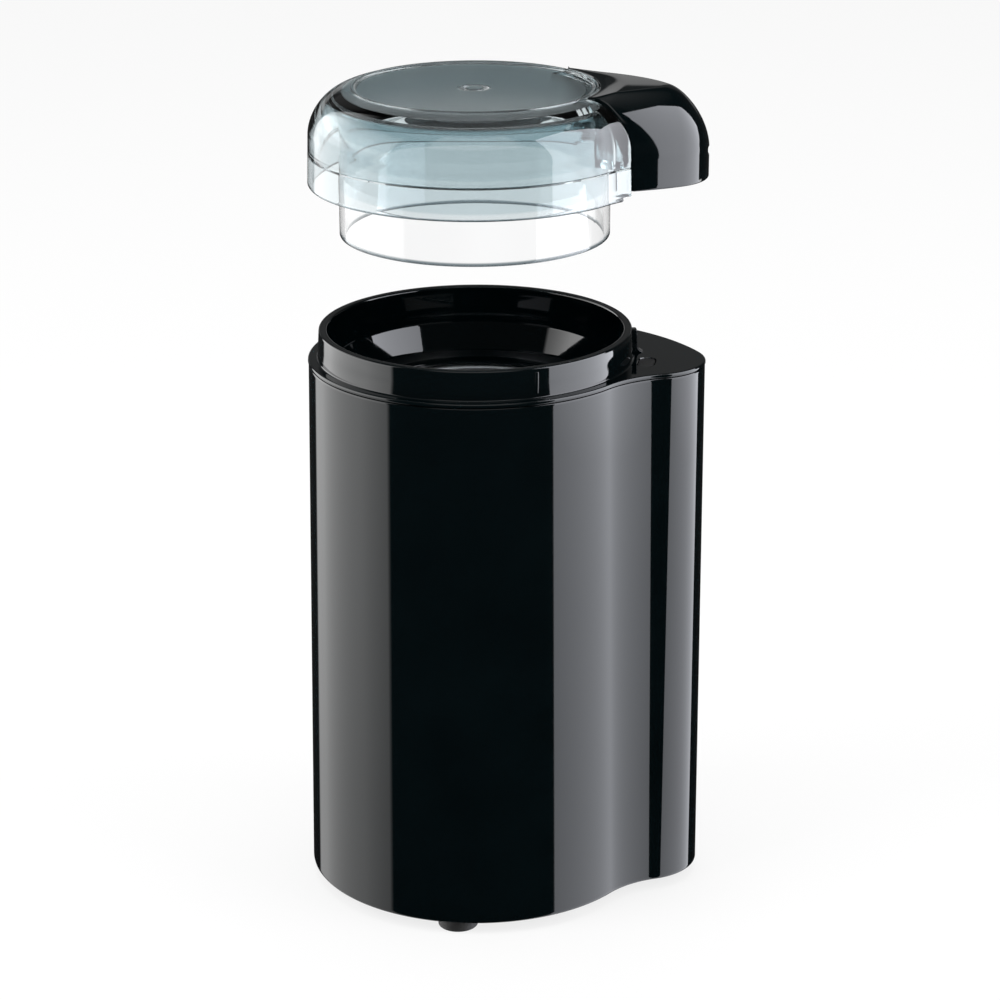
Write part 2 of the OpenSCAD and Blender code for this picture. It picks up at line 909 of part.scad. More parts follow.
module armature_winding() {
  bar_w = core_slot_w - 2 * brush_play;
  bar_l = 3;
  in = armature_r - core_slot_d + brush_play;
  out = armature_r - turn_round;
  color("#b5732f")
    on_axis() {
      for (z = [stack_low - turn_h, stack_top])
        rotate_extrude()
          polygon([[shaft_r + close_gap, z + turn_gap], [out - turn_step, z + turn_gap],
            [out, z + turn_round], [out, z + turn_h - turn_round],
            [out - turn_step, z + turn_h - turn_gap], [shaft_r + close_gap, z + turn_h - turn_gap]]);
      around(armature_slots, 0, in)
        translate([0, -bar_w / 2, stack_low - weld])
          cube([bar_l, bar_w, stack_h + 2 * weld]);
    }
}

module commutator() {
  color("#c07f45")
    on_axis()
      difference() {
        rod(comm_r, comm_low, comm_top);
        rod(shaft_r + close_gap, comm_low - over, comm_top + over);
        around(armature_slots, 0, comm_r - comm_slit_d)
          translate([0, -comm_slit / 2, comm_low - over])
            cube([comm_slit_d + over, comm_slit, comm_h + 2 * over]);
      }
}

module cooling_fan() {
  fan_r = bolt_x - leg_r - fan_gap;
  color("#2d3136")
    on_axis()
      difference() {
        union() {
          rod(fan_hub, fan_low, fan_low + fan_h);
          rod(fan_r, fan_low, fan_low + fan_plate);
          around(fan_blades, 0, fan_hub - weld)
            rotate(-fan_sweep)
              translate([0, -vane_t / 2, fan_low])
                cube([fan_r - fan_hub - weld, vane_t, fan_h]);
        }
        rod(shaft_r + close_gap, fan_low - over, fan_low + fan_h + over);
      }
}

module along_y() {
  for (turn = [0, 180])
    rotate(turn)
      children();
}

module brush_holders() {
  w = brush_w + 2 * brush_play;
  h = brush_h + 2 * brush_play;
  color("#b08d57")
    on_axis()
      along_y()
        difference() {
          translate([-w / 2 - holder_wall, holder_in, bridge_top])
            cube([w + 2 * holder_wall, holder_out - holder_in, h + 2 * holder_wall]);
          translate([-w / 2, holder_in - over, brush_z - h / 2])
            cube([w, holder_out - holder_in + over - holder_wall, h]);
        }
}

module carbon_brushes() {
  color("#333333")
    on_axis()
      along_y()
        translate([-brush_w / 2, brush_in, brush_z - brush_h / 2])
          cube([brush_w, brush_l, brush_h]);
}

module brush_springs() {
  color("#c8c8c8")
    on_axis()
      along_y()
        translate([0, brush_in + brush_l, brush_z])
          rotate([-90, 0, 0])
            spring(brush_spring_r, 0, brush_spring_l, 4);
}

// Switch under the deck

module switch_bracket() {
  plate_l = slot_l + guide_play + 2 * guide_wall;
  inner = switch_w + 2 * switch_play;
  color("#4a4f55")
    on_axis()
      at_slot()
        difference() {
          union() {
            translate([-inner / 2 - cheek_t, -plate_l / 2, switch_plate_low])
              cube([inner + 2 * cheek_t, plate_l, switch_plate_t]);
            for (x = [-inner / 2 - cheek_t, inner / 2])
              translate([x, -plate_l / 2, switch_top - cheek_h + button_h])
                cube([cheek_t, plate_l, switch_plate_low - switch_top + cheek_h - button_h + eps]);
          }
          rod(stem_r + plunger_play, switch_plate_low - over, guide_low + over);
        }
}

module switch_body() {
  color("#1d1f22")
    on_axis()
      at_slot()
        difference() {
          translate([0, switch_shift, 0]) {
            translate([-switch_w / 2, -switch_l / 2, switch_top - switch_h])
              cube([switch_w, switch_l, switch_h]);
            for (y = [-switch_l / 3, 0, switch_l / 3])
              translate([-terminal_w / 2, y - terminal_t / 2, switch_top - switch_h - terminal_h])
                cube([terminal_w, terminal_t, terminal_h + eps]);
          }
          button_block(switch_play, button_sink + plunger_travel + slide_gap, over);
        }
}

// The switch's button, or the pocket for it
module button_block(play, below, above) {
  side = button_w + 2 * play;
  translate([-side / 2, -side / 2, switch_top - below])
    cube([side, side, below + above]);
}

module switch_plunger() {
  color("#26292c")
    on_axis()
      at_slot() {
        stadium(slot_w - 2 * plunger_play, slot_l - 2 * plunger_play, plunger_flange_top, plunger_top);
        stadium(slot_w + guide_play - 2 * plunger_play, slot_l + guide_play - 2 * plunger_play,
          plunger_flange_low, plunger_flange_top);
        rod(stem_r, button_top, plunger_flange_low);
      }
}

module switch_button() {
  color("#b03a2e")
    on_axis()
      at_slot()
        button_block(0, button_sink, button_h);
}

module plunger_spring() {
  color("#c8c8c8")
    on_axis()
      at_slot()
        spring(spring_r, guide_low, plunger_flange_low, 7);
}

// Lid

// Points of the lid's shoulder from the skirt up to the flat top
function shoulder(r0, z0, r1, z1) = [for (i = [0:dome_steps]) let (a = 90 * i / dome_steps)
  [r1 + (r0 - r1) * pow(cos(a), 2 / dome_power), z0 + (z1 - z0) * pow(sin(a), 2 / dome_power)]];

module lid_shell() {
  edge_r = disc_r + disc_w / 2;
  under_z = lid_h - disc_sink - lid_t;
  outside = concat([[skirt_r - skirt_round, 0], [skirt_r, skirt_round]],
    shoulder(shoulder_r, skirt_h, edge_r, lid_h));
  top = [[edge_r, lid_h + disc_rise], [disc_r - disc_w / 2, lid_h + disc_rise],
    [disc_r - disc_w, lid_h - disc_sink], [0, lid_h - disc_sink]];
  inside = [[0, under_z], [tube_r - tube_t, under_z], [tube_r - tube_t, -tube_drop],
    [tube_r, -tube_drop], [tube_r, under_z - gusset]];
  gap = shoulder(step_r, skirt_h, tube_r, under_z - gusset);
  reversed = [for (i = [len(gap) - 2:-1:0]) gap[i]];
  skirt = [[step_r, step_h], [lid_bore - bore_taper, step_h], [lid_bore, 0]];
  rotate_extrude()
    polygon(concat(outside, top, inside, reversed, skirt));
}

// Solid form of the dome without its hollow
module dome(top) {
  rotate_extrude()
    polygon(concat([[0, 0], [skirt_r, 0]],
      shoulder(shoulder_r, skirt_h, disc_r + disc_w / 2, top), [[0, top]]));
}

module lid_cover() {
  color([0.62, 0.68, 0.7, 0.5])
    on_axis()
      translate([0, 0, lid_z])
        difference() {
          union() {
            difference() {
              lid_shell();
              bar_pocket();
            }
            bar_ears();
            intersection() {
              wedge(slide_gap + ear_t, -over, lid_h);
              union() {
                ring(shelf_r, tube_r - tube_t / 2, step_h, shelf_top);
                ring(tube_r, disc_r - disc_w - ledge_t, lid_h - ledge_drop - ledge_t,
                  lid_h - ledge_drop);
                ring(disc_r + disc_w / 2, disc_r - disc_w - ledge_t, lid_h - ledge_drop - eps,
                  lid_h - disc_sink - lid_t + eps);
              }
            }
          }
          bar_tongues(bar_travel + slide_gap, slide_gap);
          rod(gate_r, lid_h - disc_sink - gate_d, lid_h + over);
        }
}

// Room cut for the press bar
module bar_pocket() {
  difference() {
    wedge(slide_gap, -over, lid_h + 2 * over);
    rod(disc_r + disc_w / 2, lid_h - ledge_drop, lid_h + 3 * over);
    rod(tube_r, shelf_top, lid_h - ledge_drop + eps);
    rod(shelf_r, step_h, shelf_top + eps);
    rod(lid_bore - bore_taper - eps, -2 * over, step_h + eps);
  }
}

// Upright walls of the lid on both sides of the press bar
module bar_ears() {
  difference() {
    intersection() {
      dome(lid_h);
      wedge(slide_gap + ear_t, skirt_round, lid_h);
    }
    wedge(slide_gap, -over, lid_h + over);
    rod(tube_r - tube_t / 2, -over, lid_h + over);
    rod(lid_bore, -over, step_h);
  }
  near_strip();
}

// Strip of the near wall that runs out to the press bar's flank
module near_strip() {
  difference() {
    intersection() {
      bar_form(0, slide_gap + ear_t, 0, lid_h + disc_rise);
      wedge(2 * ear_t, skirt_round, skirt_h + strip_rise);
    }
    wedge(slide_gap, -over, lid_h + over);
    rod(shoulder_r - ear_t / 2, -over, lid_h + over);
    rotate((bar_near + bar_far) / 2)
      translate([0, 0, -over])
        cube(3 * body_r);
  }
}

// Tongues on the press bar's sides, or the slots for them in the lid
module bar_tongues(drop, play) {
  for (side = [0, 1])
    rotate(side == 0 ? bar_near : bar_far)
      mirror([0, side, 0])
        translate([tongue_r - play, -tongue_out - (play > 0 ? ear_t : 0), tongue_z - drop])
          cube([tongue_w + 2 * play, tongue_out + (play > 0 ? ear_t : bar_t), tongue_h + drop]);
}

// Outside of the press bar: the body's outline, stepped in as deep as the dome's shoulder toward
// the top, with its necks filled out straight from the bar's sides to the nose
module bar_form(inset, side, low, top) {
  edge = draft + lid_inset;
  depth = min(shoulder_r - disc_r - disc_w / 2, nose_r - edge - inset - bar_tip_r);
  curve = [for (i = [0:dome_steps]) let (a = 90 * i / dome_steps)
    [pow(cos(a), 2 / bar_power), pow(sin(a), 2 / bar_power)]];
  rings = [for (c = curve) body_outline(edge + inset + depth * (1 - c.x), edge, coarse)];
  levels = [for (c = curve) bar_side_h + (top - bar_side_h) * c.y];
  hull()
    intersection() {
      loft(concat([rings[0]], rings), concat([low], levels));
      wedge(side, low - over, top + over);
    }
}

module push_bar() {
  color("#0d0f11")
    on_axis()
      translate([0, 0, lid_z]) {
        difference() {
          bar_form(0, 0, bar_gap, lid_h + disc_rise);
          rod(bar_lip_r, -over, lid_h + over);
          rod(bar_wall_in, -over, lid_h - bar_t);
          rod(shelf_r + slide_gap, -over, bar_low_in);
          bar_hollow();
          translate([nose_dist + nose_r + grip_r - grip_d, -grip_l / 4, grip_z])
            rotate([-90, 0, 0])
              cylinder(r = grip_r, h = grip_l);
        }
        bar_tongues(0, 0);
        bar_posts();
      }
}

module bar_hollow() {
  difference() {
    bar_form(bar_t, -bar_t, -over, lid_h - bar_t);
    rod(bar_wall_in + bar_t, -2 * over, lid_h);
  }
}

// Prong over the switch slot and posts over the return springs
module bar_posts() {
  intersection() {
    bar_form(bar_t / 2, -bar_t / 2, 0, lid_h - bar_t / 2);
    union() {
      at_slot()
        translate([-prong_w / 2, -prong_l / 2, prong_rise])
          cube([prong_w, prong_l, lid_h]);
      for (turn = post_turns)
        rotate(turn)
          translate([post_ring, 0, 0])
            rod(post_r, post_low, lid_h);
    }
  }
}

module push_bar_springs() {
  color("#c8c8c8")
    on_axis()
      translate([0, 0, lid_z])
        for (turn = post_turns)
          rotate(turn)
            translate([post_ring, 0, 0])
              spring(bar_spring_r, shelf_top, post_low, 4);
}

housing();
base_plate();
base_screws();
feet();
top_cover();
steel_bowl();
bowl_gasket();
shaft_seal();
motor_top_bracket();
bracket_screws();
upper_bearing();
stator_core();
field_coils();
motor_bottom_bracket();
lower_bearing();
motor_screws();
brush_holders();
carbon_brushes();
brush_springs();
switch_bracket();
switch_body();
switch_plunger();
switch_button();
plunger_spring();
motor_shaft();
armature_core();
armature_winding();
commutator();
cooling_fan();
blade();
blade_nut();
lid_cover();
push_bar();
push_bar_springs();
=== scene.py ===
import math
from functools import partial

import bmesh
import bpy
import numpy as np
from mathutils import Matrix, Vector


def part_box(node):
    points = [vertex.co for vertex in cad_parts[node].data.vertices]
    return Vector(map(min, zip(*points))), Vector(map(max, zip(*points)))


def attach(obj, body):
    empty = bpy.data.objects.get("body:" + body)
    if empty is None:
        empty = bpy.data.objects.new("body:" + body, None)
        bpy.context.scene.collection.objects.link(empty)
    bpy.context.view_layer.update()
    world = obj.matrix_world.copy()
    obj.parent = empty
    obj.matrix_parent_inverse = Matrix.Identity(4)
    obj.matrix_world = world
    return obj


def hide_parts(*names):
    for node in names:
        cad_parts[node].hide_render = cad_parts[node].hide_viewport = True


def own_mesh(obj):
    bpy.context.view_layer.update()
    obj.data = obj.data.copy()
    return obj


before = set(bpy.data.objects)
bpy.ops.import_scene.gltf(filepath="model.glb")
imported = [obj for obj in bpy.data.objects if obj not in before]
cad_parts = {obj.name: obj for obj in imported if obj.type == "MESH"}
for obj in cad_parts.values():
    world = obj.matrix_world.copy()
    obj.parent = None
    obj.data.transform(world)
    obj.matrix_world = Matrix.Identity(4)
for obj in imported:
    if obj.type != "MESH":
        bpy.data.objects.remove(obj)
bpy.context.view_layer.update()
scene = bpy.context.scene

# Sizes in millimetres, the same as in the part's source, measured from the body's axis
AXIS_X = -7.325
BODY_R, DRAFT, NOSE_DIST, NOSE_R, NECK_R, BACK_R, BACK_TURN = 44.5, 1.6, 43.1, 15.9, 25.0, 57.5, 28.7
FOOT_H, HOUSING_TOP, DECK_Z, RIM_Z, WALL = 3.0, 142.2, 143.4, 151.0, 2.2
LID_Z, LID_H, SKIRT_H, SHOULDER_R, EDGE_R = 189.0, 24.2, 12.6, 41.9, 31.1
LID_INSET = DRAFT + 0.7
DOME_POWER = 1.85
BAR_NEAR, BAR_FAR, BAR_T = -23.0, 46.0, 1.8
BAR_LOW, BAR_SIDE, BAR_TOP, BAR_POWER = 2.2, 10.0, 24.6, 1.7
BOWL_Z = 130.2
BOWL_FLOOR, BARREL_LOW = BOWL_Z - 32, BOWL_Z - 42
SLOT_DIST, SLOT_TURN = 44.3, -4.6
POST_DIST, POST_TURNS = 38.25, (4, 32)
FOOT_DIST, FOOT_TURNS = 38.7, (-92.6, -2.6, 87.4, 177.4)
BOSS_DIST, BOSS_TURNS = 39.3, (61.7, 135, 225, -45)
LUG_DIST, LUG_TURNS = 31.3, (90, 210, 330)
RIB_TURNS, RIDGE_TURN, INLET_TURN = (-63, 57, 177), 8.4, 112

# Points on the outline's arcs: body, necks, nose and back
DENSE = (160, 24, 72, 48)
# Degrees from which an edge stays sharp, and metres within which points are one
SHARP, WELD, NO_LENGTH = 32, 2e-7, 1e-8
BLACK, WHITE, IOR = (0, 0, 0), (1, 1, 1), 1.5
# Most of a noise's values lie between these two
NOISE_LOW, NOISE_HIGH = 0.3, 0.7
# Radians that the wave texture makes of a metre at scale 1
WAVE_RATE = 20


def polar(r, a):
    return np.array([r * math.cos(math.radians(a)), r * math.sin(math.radians(a))])


def angle_to(p):
    return math.degrees(math.atan2(p[1], p[0]))


def corner(a, b, c):
    return math.degrees(math.acos((a * a + b * b - c * c) / (2 * a * b)))


def outline(inset, lean):
    """Closed outline of the body, cut in by inset, with its nose pushed out by lean."""
    nose = np.array([NOSE_DIST + lean, 0.0])
    reach = BODY_R + NECK_R
    near_a = -corner(reach, nose[0], NOSE_R + NECK_R)
    near = polar(reach, near_a)
    near_n = angle_to(near - nose)
    back = nose - polar(BACK_R - NOSE_R, BACK_TURN)
    far_a = angle_to(back) + corner(reach, math.hypot(*back), BACK_R + NECK_R)
    far = polar(reach, far_a)
    far_b = angle_to(far - back)
    arcs = [
        (np.zeros(2), BODY_R - inset, far_a, 360 + near_a, DENSE[0]),
        (near, NECK_R + inset, 180 + near_a, 180 + near_n, DENSE[1]),
        (nose, NOSE_R - inset, near_n, BACK_TURN, DENSE[2]),
        (back, BACK_R - inset, BACK_TURN, far_b, DENSE[3]),
        (far, NECK_R + inset, 180 + far_b, 180 + far_a, DENSE[1]),
    ]
    return np.array([c + polar(r, a0 + (a1 - a0) * i / n) for c, r, a0, a1, n in arcs for i in range(n)])


def outline_radius(inset, lean):
    """Radius of an outline by direction, as a function of degrees."""
    points = outline(inset, lean)
    turn = np.degrees(np.unwrap(np.arctan2(points[:, 1], points[:, 0])))
    radius = np.hypot(points[:, 0], points[:, 1])
    turn = np.concatenate([turn - 360, turn, turn + 360])
    radius = np.tile(radius, 3)
    return lambda a: float(np.interp(a, turn, radius))


def quarter(cx, cz, r, a0, a1, steps=5):
    """Points on an arc of a profile, from direction a0 to a1."""
    return [(cx + r * math.cos(math.radians(a0 + (a1 - a0) * i / steps)),
             cz + r * math.sin(math.radians(a0 + (a1 - a0) * i / steps))) for i in range(steps + 1)]


class Shell:
    """Gathers points and faces in millimetres from the body's axis, and makes one object of them."""

    def __init__(self):
        self.points = []
        self.faces = []

    def add(self, points, faces):
        start = len(self.points)
        self.points.extend([tuple(p) for p in points])
        self.faces.extend([tuple(start + i for i in f) for f in faces])

    def sweep(self, rings, wrap_profile=True):
        """Quads between closed rings of as many points each, also from last to first if the profile wraps."""
        count = len(rings[0])
        faces = []
        for k in range(len(rings) if wrap_profile else len(rings) - 1):
            m = (k + 1) % len(rings)
            for i in range(count):
                j = (i + 1) % count
                faces.append((k * count + i, k * count + j, m * count + j, m * count + i))
        self.add([p for ring in rings for p in ring], faces)

    def lathe(self, profile, steps, centre=(0, 0)):
        turns = [2 * math.pi * i / steps for i in range(steps)]
        self.sweep([[(centre[0] + r * math.cos(a), centre[1] + r * math.sin(a), z) for a in turns]
                    for r, z in profile])

    def flat(self, points):
        self.add(points, [tuple(range(len(points)))])

    def block(self, size, low, turn, out, round_r):
        """Box with rounded edges, on a ray from the axis: size along the ray, across it and up."""
        bm = bmesh.new()
        bmesh.ops.create_cube(bm, size=1)
        for v in bm.verts:
            v.co = Vector((v.co.x * size[0], v.co.y * size[1], v.co.z * size[2]))
        bmesh.ops.bevel(bm, geom=bm.edges[:], offset=round_r, segments=3, profile=0.5, affect="EDGES")
        place = (Matrix.Rotation(math.radians(turn), 4, "Z")
                 @ Matrix.Translation((out + size[0] / 2, 0, low + size[2] / 2)))
        bm.verts.index_update()
        self.add([place @ v.co for v in bm.verts], [[v.index for v in f.verts] for f in bm.faces])
        bm.free()

    def make(self, name):
        mesh = bpy.data.meshes.new(name)
        scaled = [((x + AXIS_X) / 1000, y / 1000, z / 1000) for x, y, z in self.points]
        mesh.from_pydata(scaled, [], self.faces)
        bm = bmesh.new()
        bm.from_mesh(mesh)
        bmesh.ops.remove_doubles(bm, verts=bm.verts, dist=WELD)
        bmesh.ops.dissolve_degenerate(bm, edges=bm.edges, dist=NO_LENGTH)
        bmesh.ops.recalc_face_normals(bm, faces=bm.faces)
        bm.to_mesh(mesh)
        bm.free()
        obj = bpy.data.objects.new(name, mesh)
        scene.collection.objects.link(obj)
        smooth(obj)
        return obj


def smooth(obj):
    obj.data.shade_smooth()
    obj.data.set_sharp_from_angle(angle=math.radians(SHARP))


def cut(obj, cutter):
    """Takes the cutter out of obj, and removes the cutter."""
    step = obj.modifiers.new("cut", "BOOLEAN")
    step.operation = "DIFFERENCE"
    step.solver = "EXACT"
    step.object = cutter
    graph = bpy.context.evaluated_depsgraph_get()
    mesh = bpy.data.meshes.new_from_object(obj.evaluated_get(graph))
    obj.modifiers.clear()
    old = obj.data
    obj.data = mesh
    mesh.name = obj.name
    bpy.data.meshes.remove(old)
    bpy.data.objects.remove(cutter)
    smooth(obj)


def add_islands(obj, shell):
    """Adds closed forms to an object's mesh without joining their faces."""
    extra = shell.make(obj.name + "_extra")
    bm = bmesh.new()
    bm.from_mesh(obj.data)
    bm.from_mesh(extra.data)
    bm.to_mesh(obj.data)
    bm.free()
    mesh = extra.data
    bpy.data.objects.remove(extra)
    bpy.data.meshes.remove(mesh)
    smooth(obj)


def place(obj, body, slot, material, *nodes):
    obj.data.materials.clear()
    obj.data.materials.append(material)
    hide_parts(*nodes)
    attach(obj, body)
    return obj


# Materials

def links(material):
    tree = material.node_tree
    return tree.nodes, tree.links, next(n for n in tree.nodes if n.type == "BSDF_PRINCIPLED")


def calc(nodes, joins, operation, *values):
    """Math node on numbers and sockets."""
    node = nodes.new("ShaderNodeMath")
    node.operation = operation
    for socket, value in zip(node.inputs, values):
        if isinstance(value, (int, float)):
            socket.default_value = value
        else:
            joins.new(value, socket)
    return node.outputs["Value"]


def noise(nodes, joins, where, scale, detail=3.0):
    texture = nodes.new("ShaderNodeTexNoise")
    texture.inputs["Scale"].default_value = scale
    texture.inputs["Detail"].default_value = detail
    joins.new(where, texture.inputs["Vector"])
    return texture.outputs["Fac"]


def ramp(nodes, joins, value, stops):
    node = nodes.new("ShaderNodeValToRGB")
    for i, (at, colour) in enumerate(stops):
        element = node.color_ramp.elements[i] if i < 2 else node.color_ramp.elements.new(at)
        element.position = at
        element.color = (*colour, 1)
    joins.new(value, node.inputs["Fac"])
    return node.outputs["Color"]


def spread(nodes, joins, value, low, high):
    node = nodes.new("ShaderNodeMapRange")
    node.inputs["From Min"].default_value = NOISE_LOW
    node.inputs["From Max"].default_value = NOISE_HIGH
    node.inputs["To Min"].default_value = low
    node.inputs["To Max"].default_value = high
    joins.new(value, node.inputs["Value"])
    return node.outputs["Result"]


def bump(nodes, joins, shader, value, strength, distance):
    node = nodes.new("ShaderNodeBump")
    node.inputs["Strength"].default_value = strength
    node.inputs["Distance"].default_value = distance
    joins.new(value, node.inputs["Height"])
    joins.new(node.outputs["Normal"], shader.inputs["Normal"])


def place_of(nodes):
    return nodes.new("ShaderNodeTexCoord").outputs["Object"]


def stretched(nodes, joins, where, scale):
    node = nodes.new("ShaderNodeVectorMath")
    node.operation = "MULTIPLY"
    node.inputs[1].default_value = scale
    joins.new(where, node.inputs[0])
    return node.outputs["Vector"]


def turned(nodes, joins, where):
    """Distance from the body's axis, direction round it and height, as one vector."""
    apart = nodes.new("ShaderNodeVectorMath")
    apart.operation = "SUBTRACT"
    apart.inputs[1].default_value = (AXIS_X / 1000, 0, 0)
    joins.new(where, apart.inputs[0])
    split = nodes.new("ShaderNodeSeparateXYZ")
    joins.new(apart.outputs["Vector"], split.inputs["Vector"])
    flat = nodes.new("ShaderNodeCombineXYZ")
    joins.new(split.outputs["X"], flat.inputs["X"])
    joins.new(split.outputs["Y"], flat.inputs["Y"])
    length = nodes.new("ShaderNodeVectorMath")
    length.operation = "LENGTH"
    joins.new(flat.outputs["Vector"], length.inputs[0])
    turn = calc(nodes, joins, "ARCTAN2", split.outputs["Y"], split.outputs["X"])
    out = nodes.new("ShaderNodeCombineXYZ")
    joins.new(length.outputs["Value"], out.inputs["X"])
    joins.new(turn, out.inputs["Y"])
    joins.new(split.outputs["Z"], out.inputs["Z"])
    return out.outputs["Vector"]


def material(name, dark, light, rough, metal=0.0, grain=400.0, fine=2500.0, strength=0.1, distance=2e-5,
             stretch=(1, 1, 1), around=False):
    """Material with its colour, roughness and bump varied by noise at two scales."""
    made = bpy.data.materials.new(name)
    made.use_nodes = True
    nodes, joins, shader = links(made)
    where = place_of(nodes)
    if around:
        where = turned(nodes, joins, where)
    if stretch != (1, 1, 1):
        where = stretched(nodes, joins, where, stretch)
    broad = noise(nodes, joins, where, grain)
    small = noise(nodes, joins, where, fine, detail=2.0)
    colour = ramp(nodes, joins, broad, [(NOISE_LOW, dark), (NOISE_HIGH, light)])
    joins.new(colour, shader.inputs["Base Color"])
    joins.new(spread(nodes, joins, small, rough[0], rough[1]), shader.inputs["Roughness"])
    bump(nodes, joins, shader, small, strength, distance)
    shader.inputs["Metallic"].default_value = metal
    shader.inputs["IOR"].default_value = IOR
    return made


def banded(name, dark, light, rough, period, metal):
    """Material with fine parallel bands, such as laminations or wound wire."""
    made = bpy.data.materials.new(name)
    made.use_nodes = True
    nodes, joins, shader = links(made)
    where = place_of(nodes)
    bands = nodes.new("ShaderNodeTexWave")
    bands.wave_type = "BANDS"
    bands.bands_direction = "Z"
    bands.inputs["Scale"].default_value = 2 * math.pi / (WAVE_RATE * period)
    bands.inputs["Distortion"].default_value = 0.6
    bands.inputs["Detail"].default_value = 1.0
    joins.new(where, bands.inputs["Vector"])
    small = noise(nodes, joins, where, 900.0)
    colour = ramp(nodes, joins, bands.outputs["Fac"], [(0.1, dark), (0.6, light)])
    joins.new(colour, shader.inputs["Base Color"])
    joins.new(spread(nodes, joins, small, rough[0], rough[1]), shader.inputs["Roughness"])
    bump(nodes, joins, shader, bands.outputs["Fac"], strength=0.4, distance=1e-4)
    shader.inputs["Metallic"].default_value = metal
    return made


def multiplied(nodes, joins, colour):
    """Mix node that multiplies a colour by its second one."""
    node = nodes.new("ShaderNodeMix")
    node.data_type = "RGBA"
    node.blend_type = "MULTIPLY"
    joins.new(colour, node.inputs["A"])
    return node


def smoked_plastic(name):
    """Clear plastic, smoked in the dome and clear in the tube, with painted shade along the lower edges of
    the skirt and the tube, and faint moulding waves.
    """
    made = bpy.data.materials.new(name)
    made.use_nodes = True
    nodes, joins, shader = links(made)
    where = place_of(nodes)
    waves = noise(nodes, joins, stretched(nodes, joins, where, (1, 1, 0.45)), 55.0, detail=1.0)
    small = noise(nodes, joins, where, 900.0, detail=2.0)
    split = nodes.new("ShaderNodeSeparateXYZ")
    joins.new(turned(nodes, joins, where), split.inputs["Vector"])
    from_axis = split.outputs["X"]
    level = nodes.new("ShaderNodeMapRange")
    level.inputs["From Min"].default_value = (LID_Z - 14) / 1000
    level.inputs["From Max"].default_value = (LID_Z + 26) / 1000
    joins.new(split.outputs["Z"], level.inputs["Value"])
    by_level = partial(ramp, nodes, joins, level.outputs["Result"])

    # Tint by height, with faint clouds in it
    # The last tint here is the colour of the painted shade along the skirt's and tube's lower edges
    skirt_in, disc_out, frost_rough, edge_shade_tint = 0.0395, 0.0326, 0.32, (0.2, 0.24, 0.26)
    tube, skirt = (0.995, 0.998, 1.0), (0.76, 0.825, 0.845)
    dome, disc = (0.65, 0.735, 0.758), (0.615, 0.68, 0.695)
    cloud = multiplied(nodes, joins, by_level([
        (0.0, tube), (0.34, tube), (0.352, skirt), (0.55, skirt), (0.558, dome), (0.86, dome), (0.885, disc),
        (1.0, disc)]))
    cloud.inputs["Factor"].default_value = 1.0
    faint = ramp(nodes, joins, waves, [(NOISE_LOW, (0.97, 0.97, 0.97)), (NOISE_HIGH, WHITE)])
    joins.new(faint, cloud.inputs["B"])

    # Painted shade in dark bands along the lower edges of the skirt and the tube
    skirt_edge_shade = by_level([(0.345, BLACK), (0.349, WHITE), (0.359, WHITE), (0.363, BLACK)])
    tube_edge_shade = by_level([(0.036, WHITE), (0.042, BLACK)])
    on_skirt = calc(nodes, joins, "GREATER_THAN", from_axis, skirt_in)
    edge_shade_mix = multiplied(nodes, joins, cloud.outputs["Result"])
    edge_shade_mix.inputs["B"].default_value = (*edge_shade_tint, 1)
    joins.new(calc(nodes, joins, "MULTIPLY_ADD", skirt_edge_shade, on_skirt, tube_edge_shade), edge_shade_mix.inputs["Factor"])
    joins.new(edge_shade_mix.outputs["Result"], shader.inputs["Base Color"])

    # Frosted underside of the disc
    under = by_level([(0.0, BLACK), (0.884, BLACK), (0.888, WHITE), (0.898, WHITE), (0.902, BLACK)])
    frost = calc(nodes, joins, "MULTIPLY", under, calc(nodes, joins, "LESS_THAN", from_axis, disc_out))
    rough = calc(nodes, joins, "MULTIPLY_ADD", frost, frost_rough, spread(nodes, joins, small, 0.008, 0.02))
    joins.new(rough, shader.inputs["Roughness"])
    bump(nodes, joins, shader, waves, strength=0.02, distance=1e-4)
    shader.inputs["Transmission Weight"].default_value = 1.0
    shader.inputs["IOR"].default_value = IOR
    return made


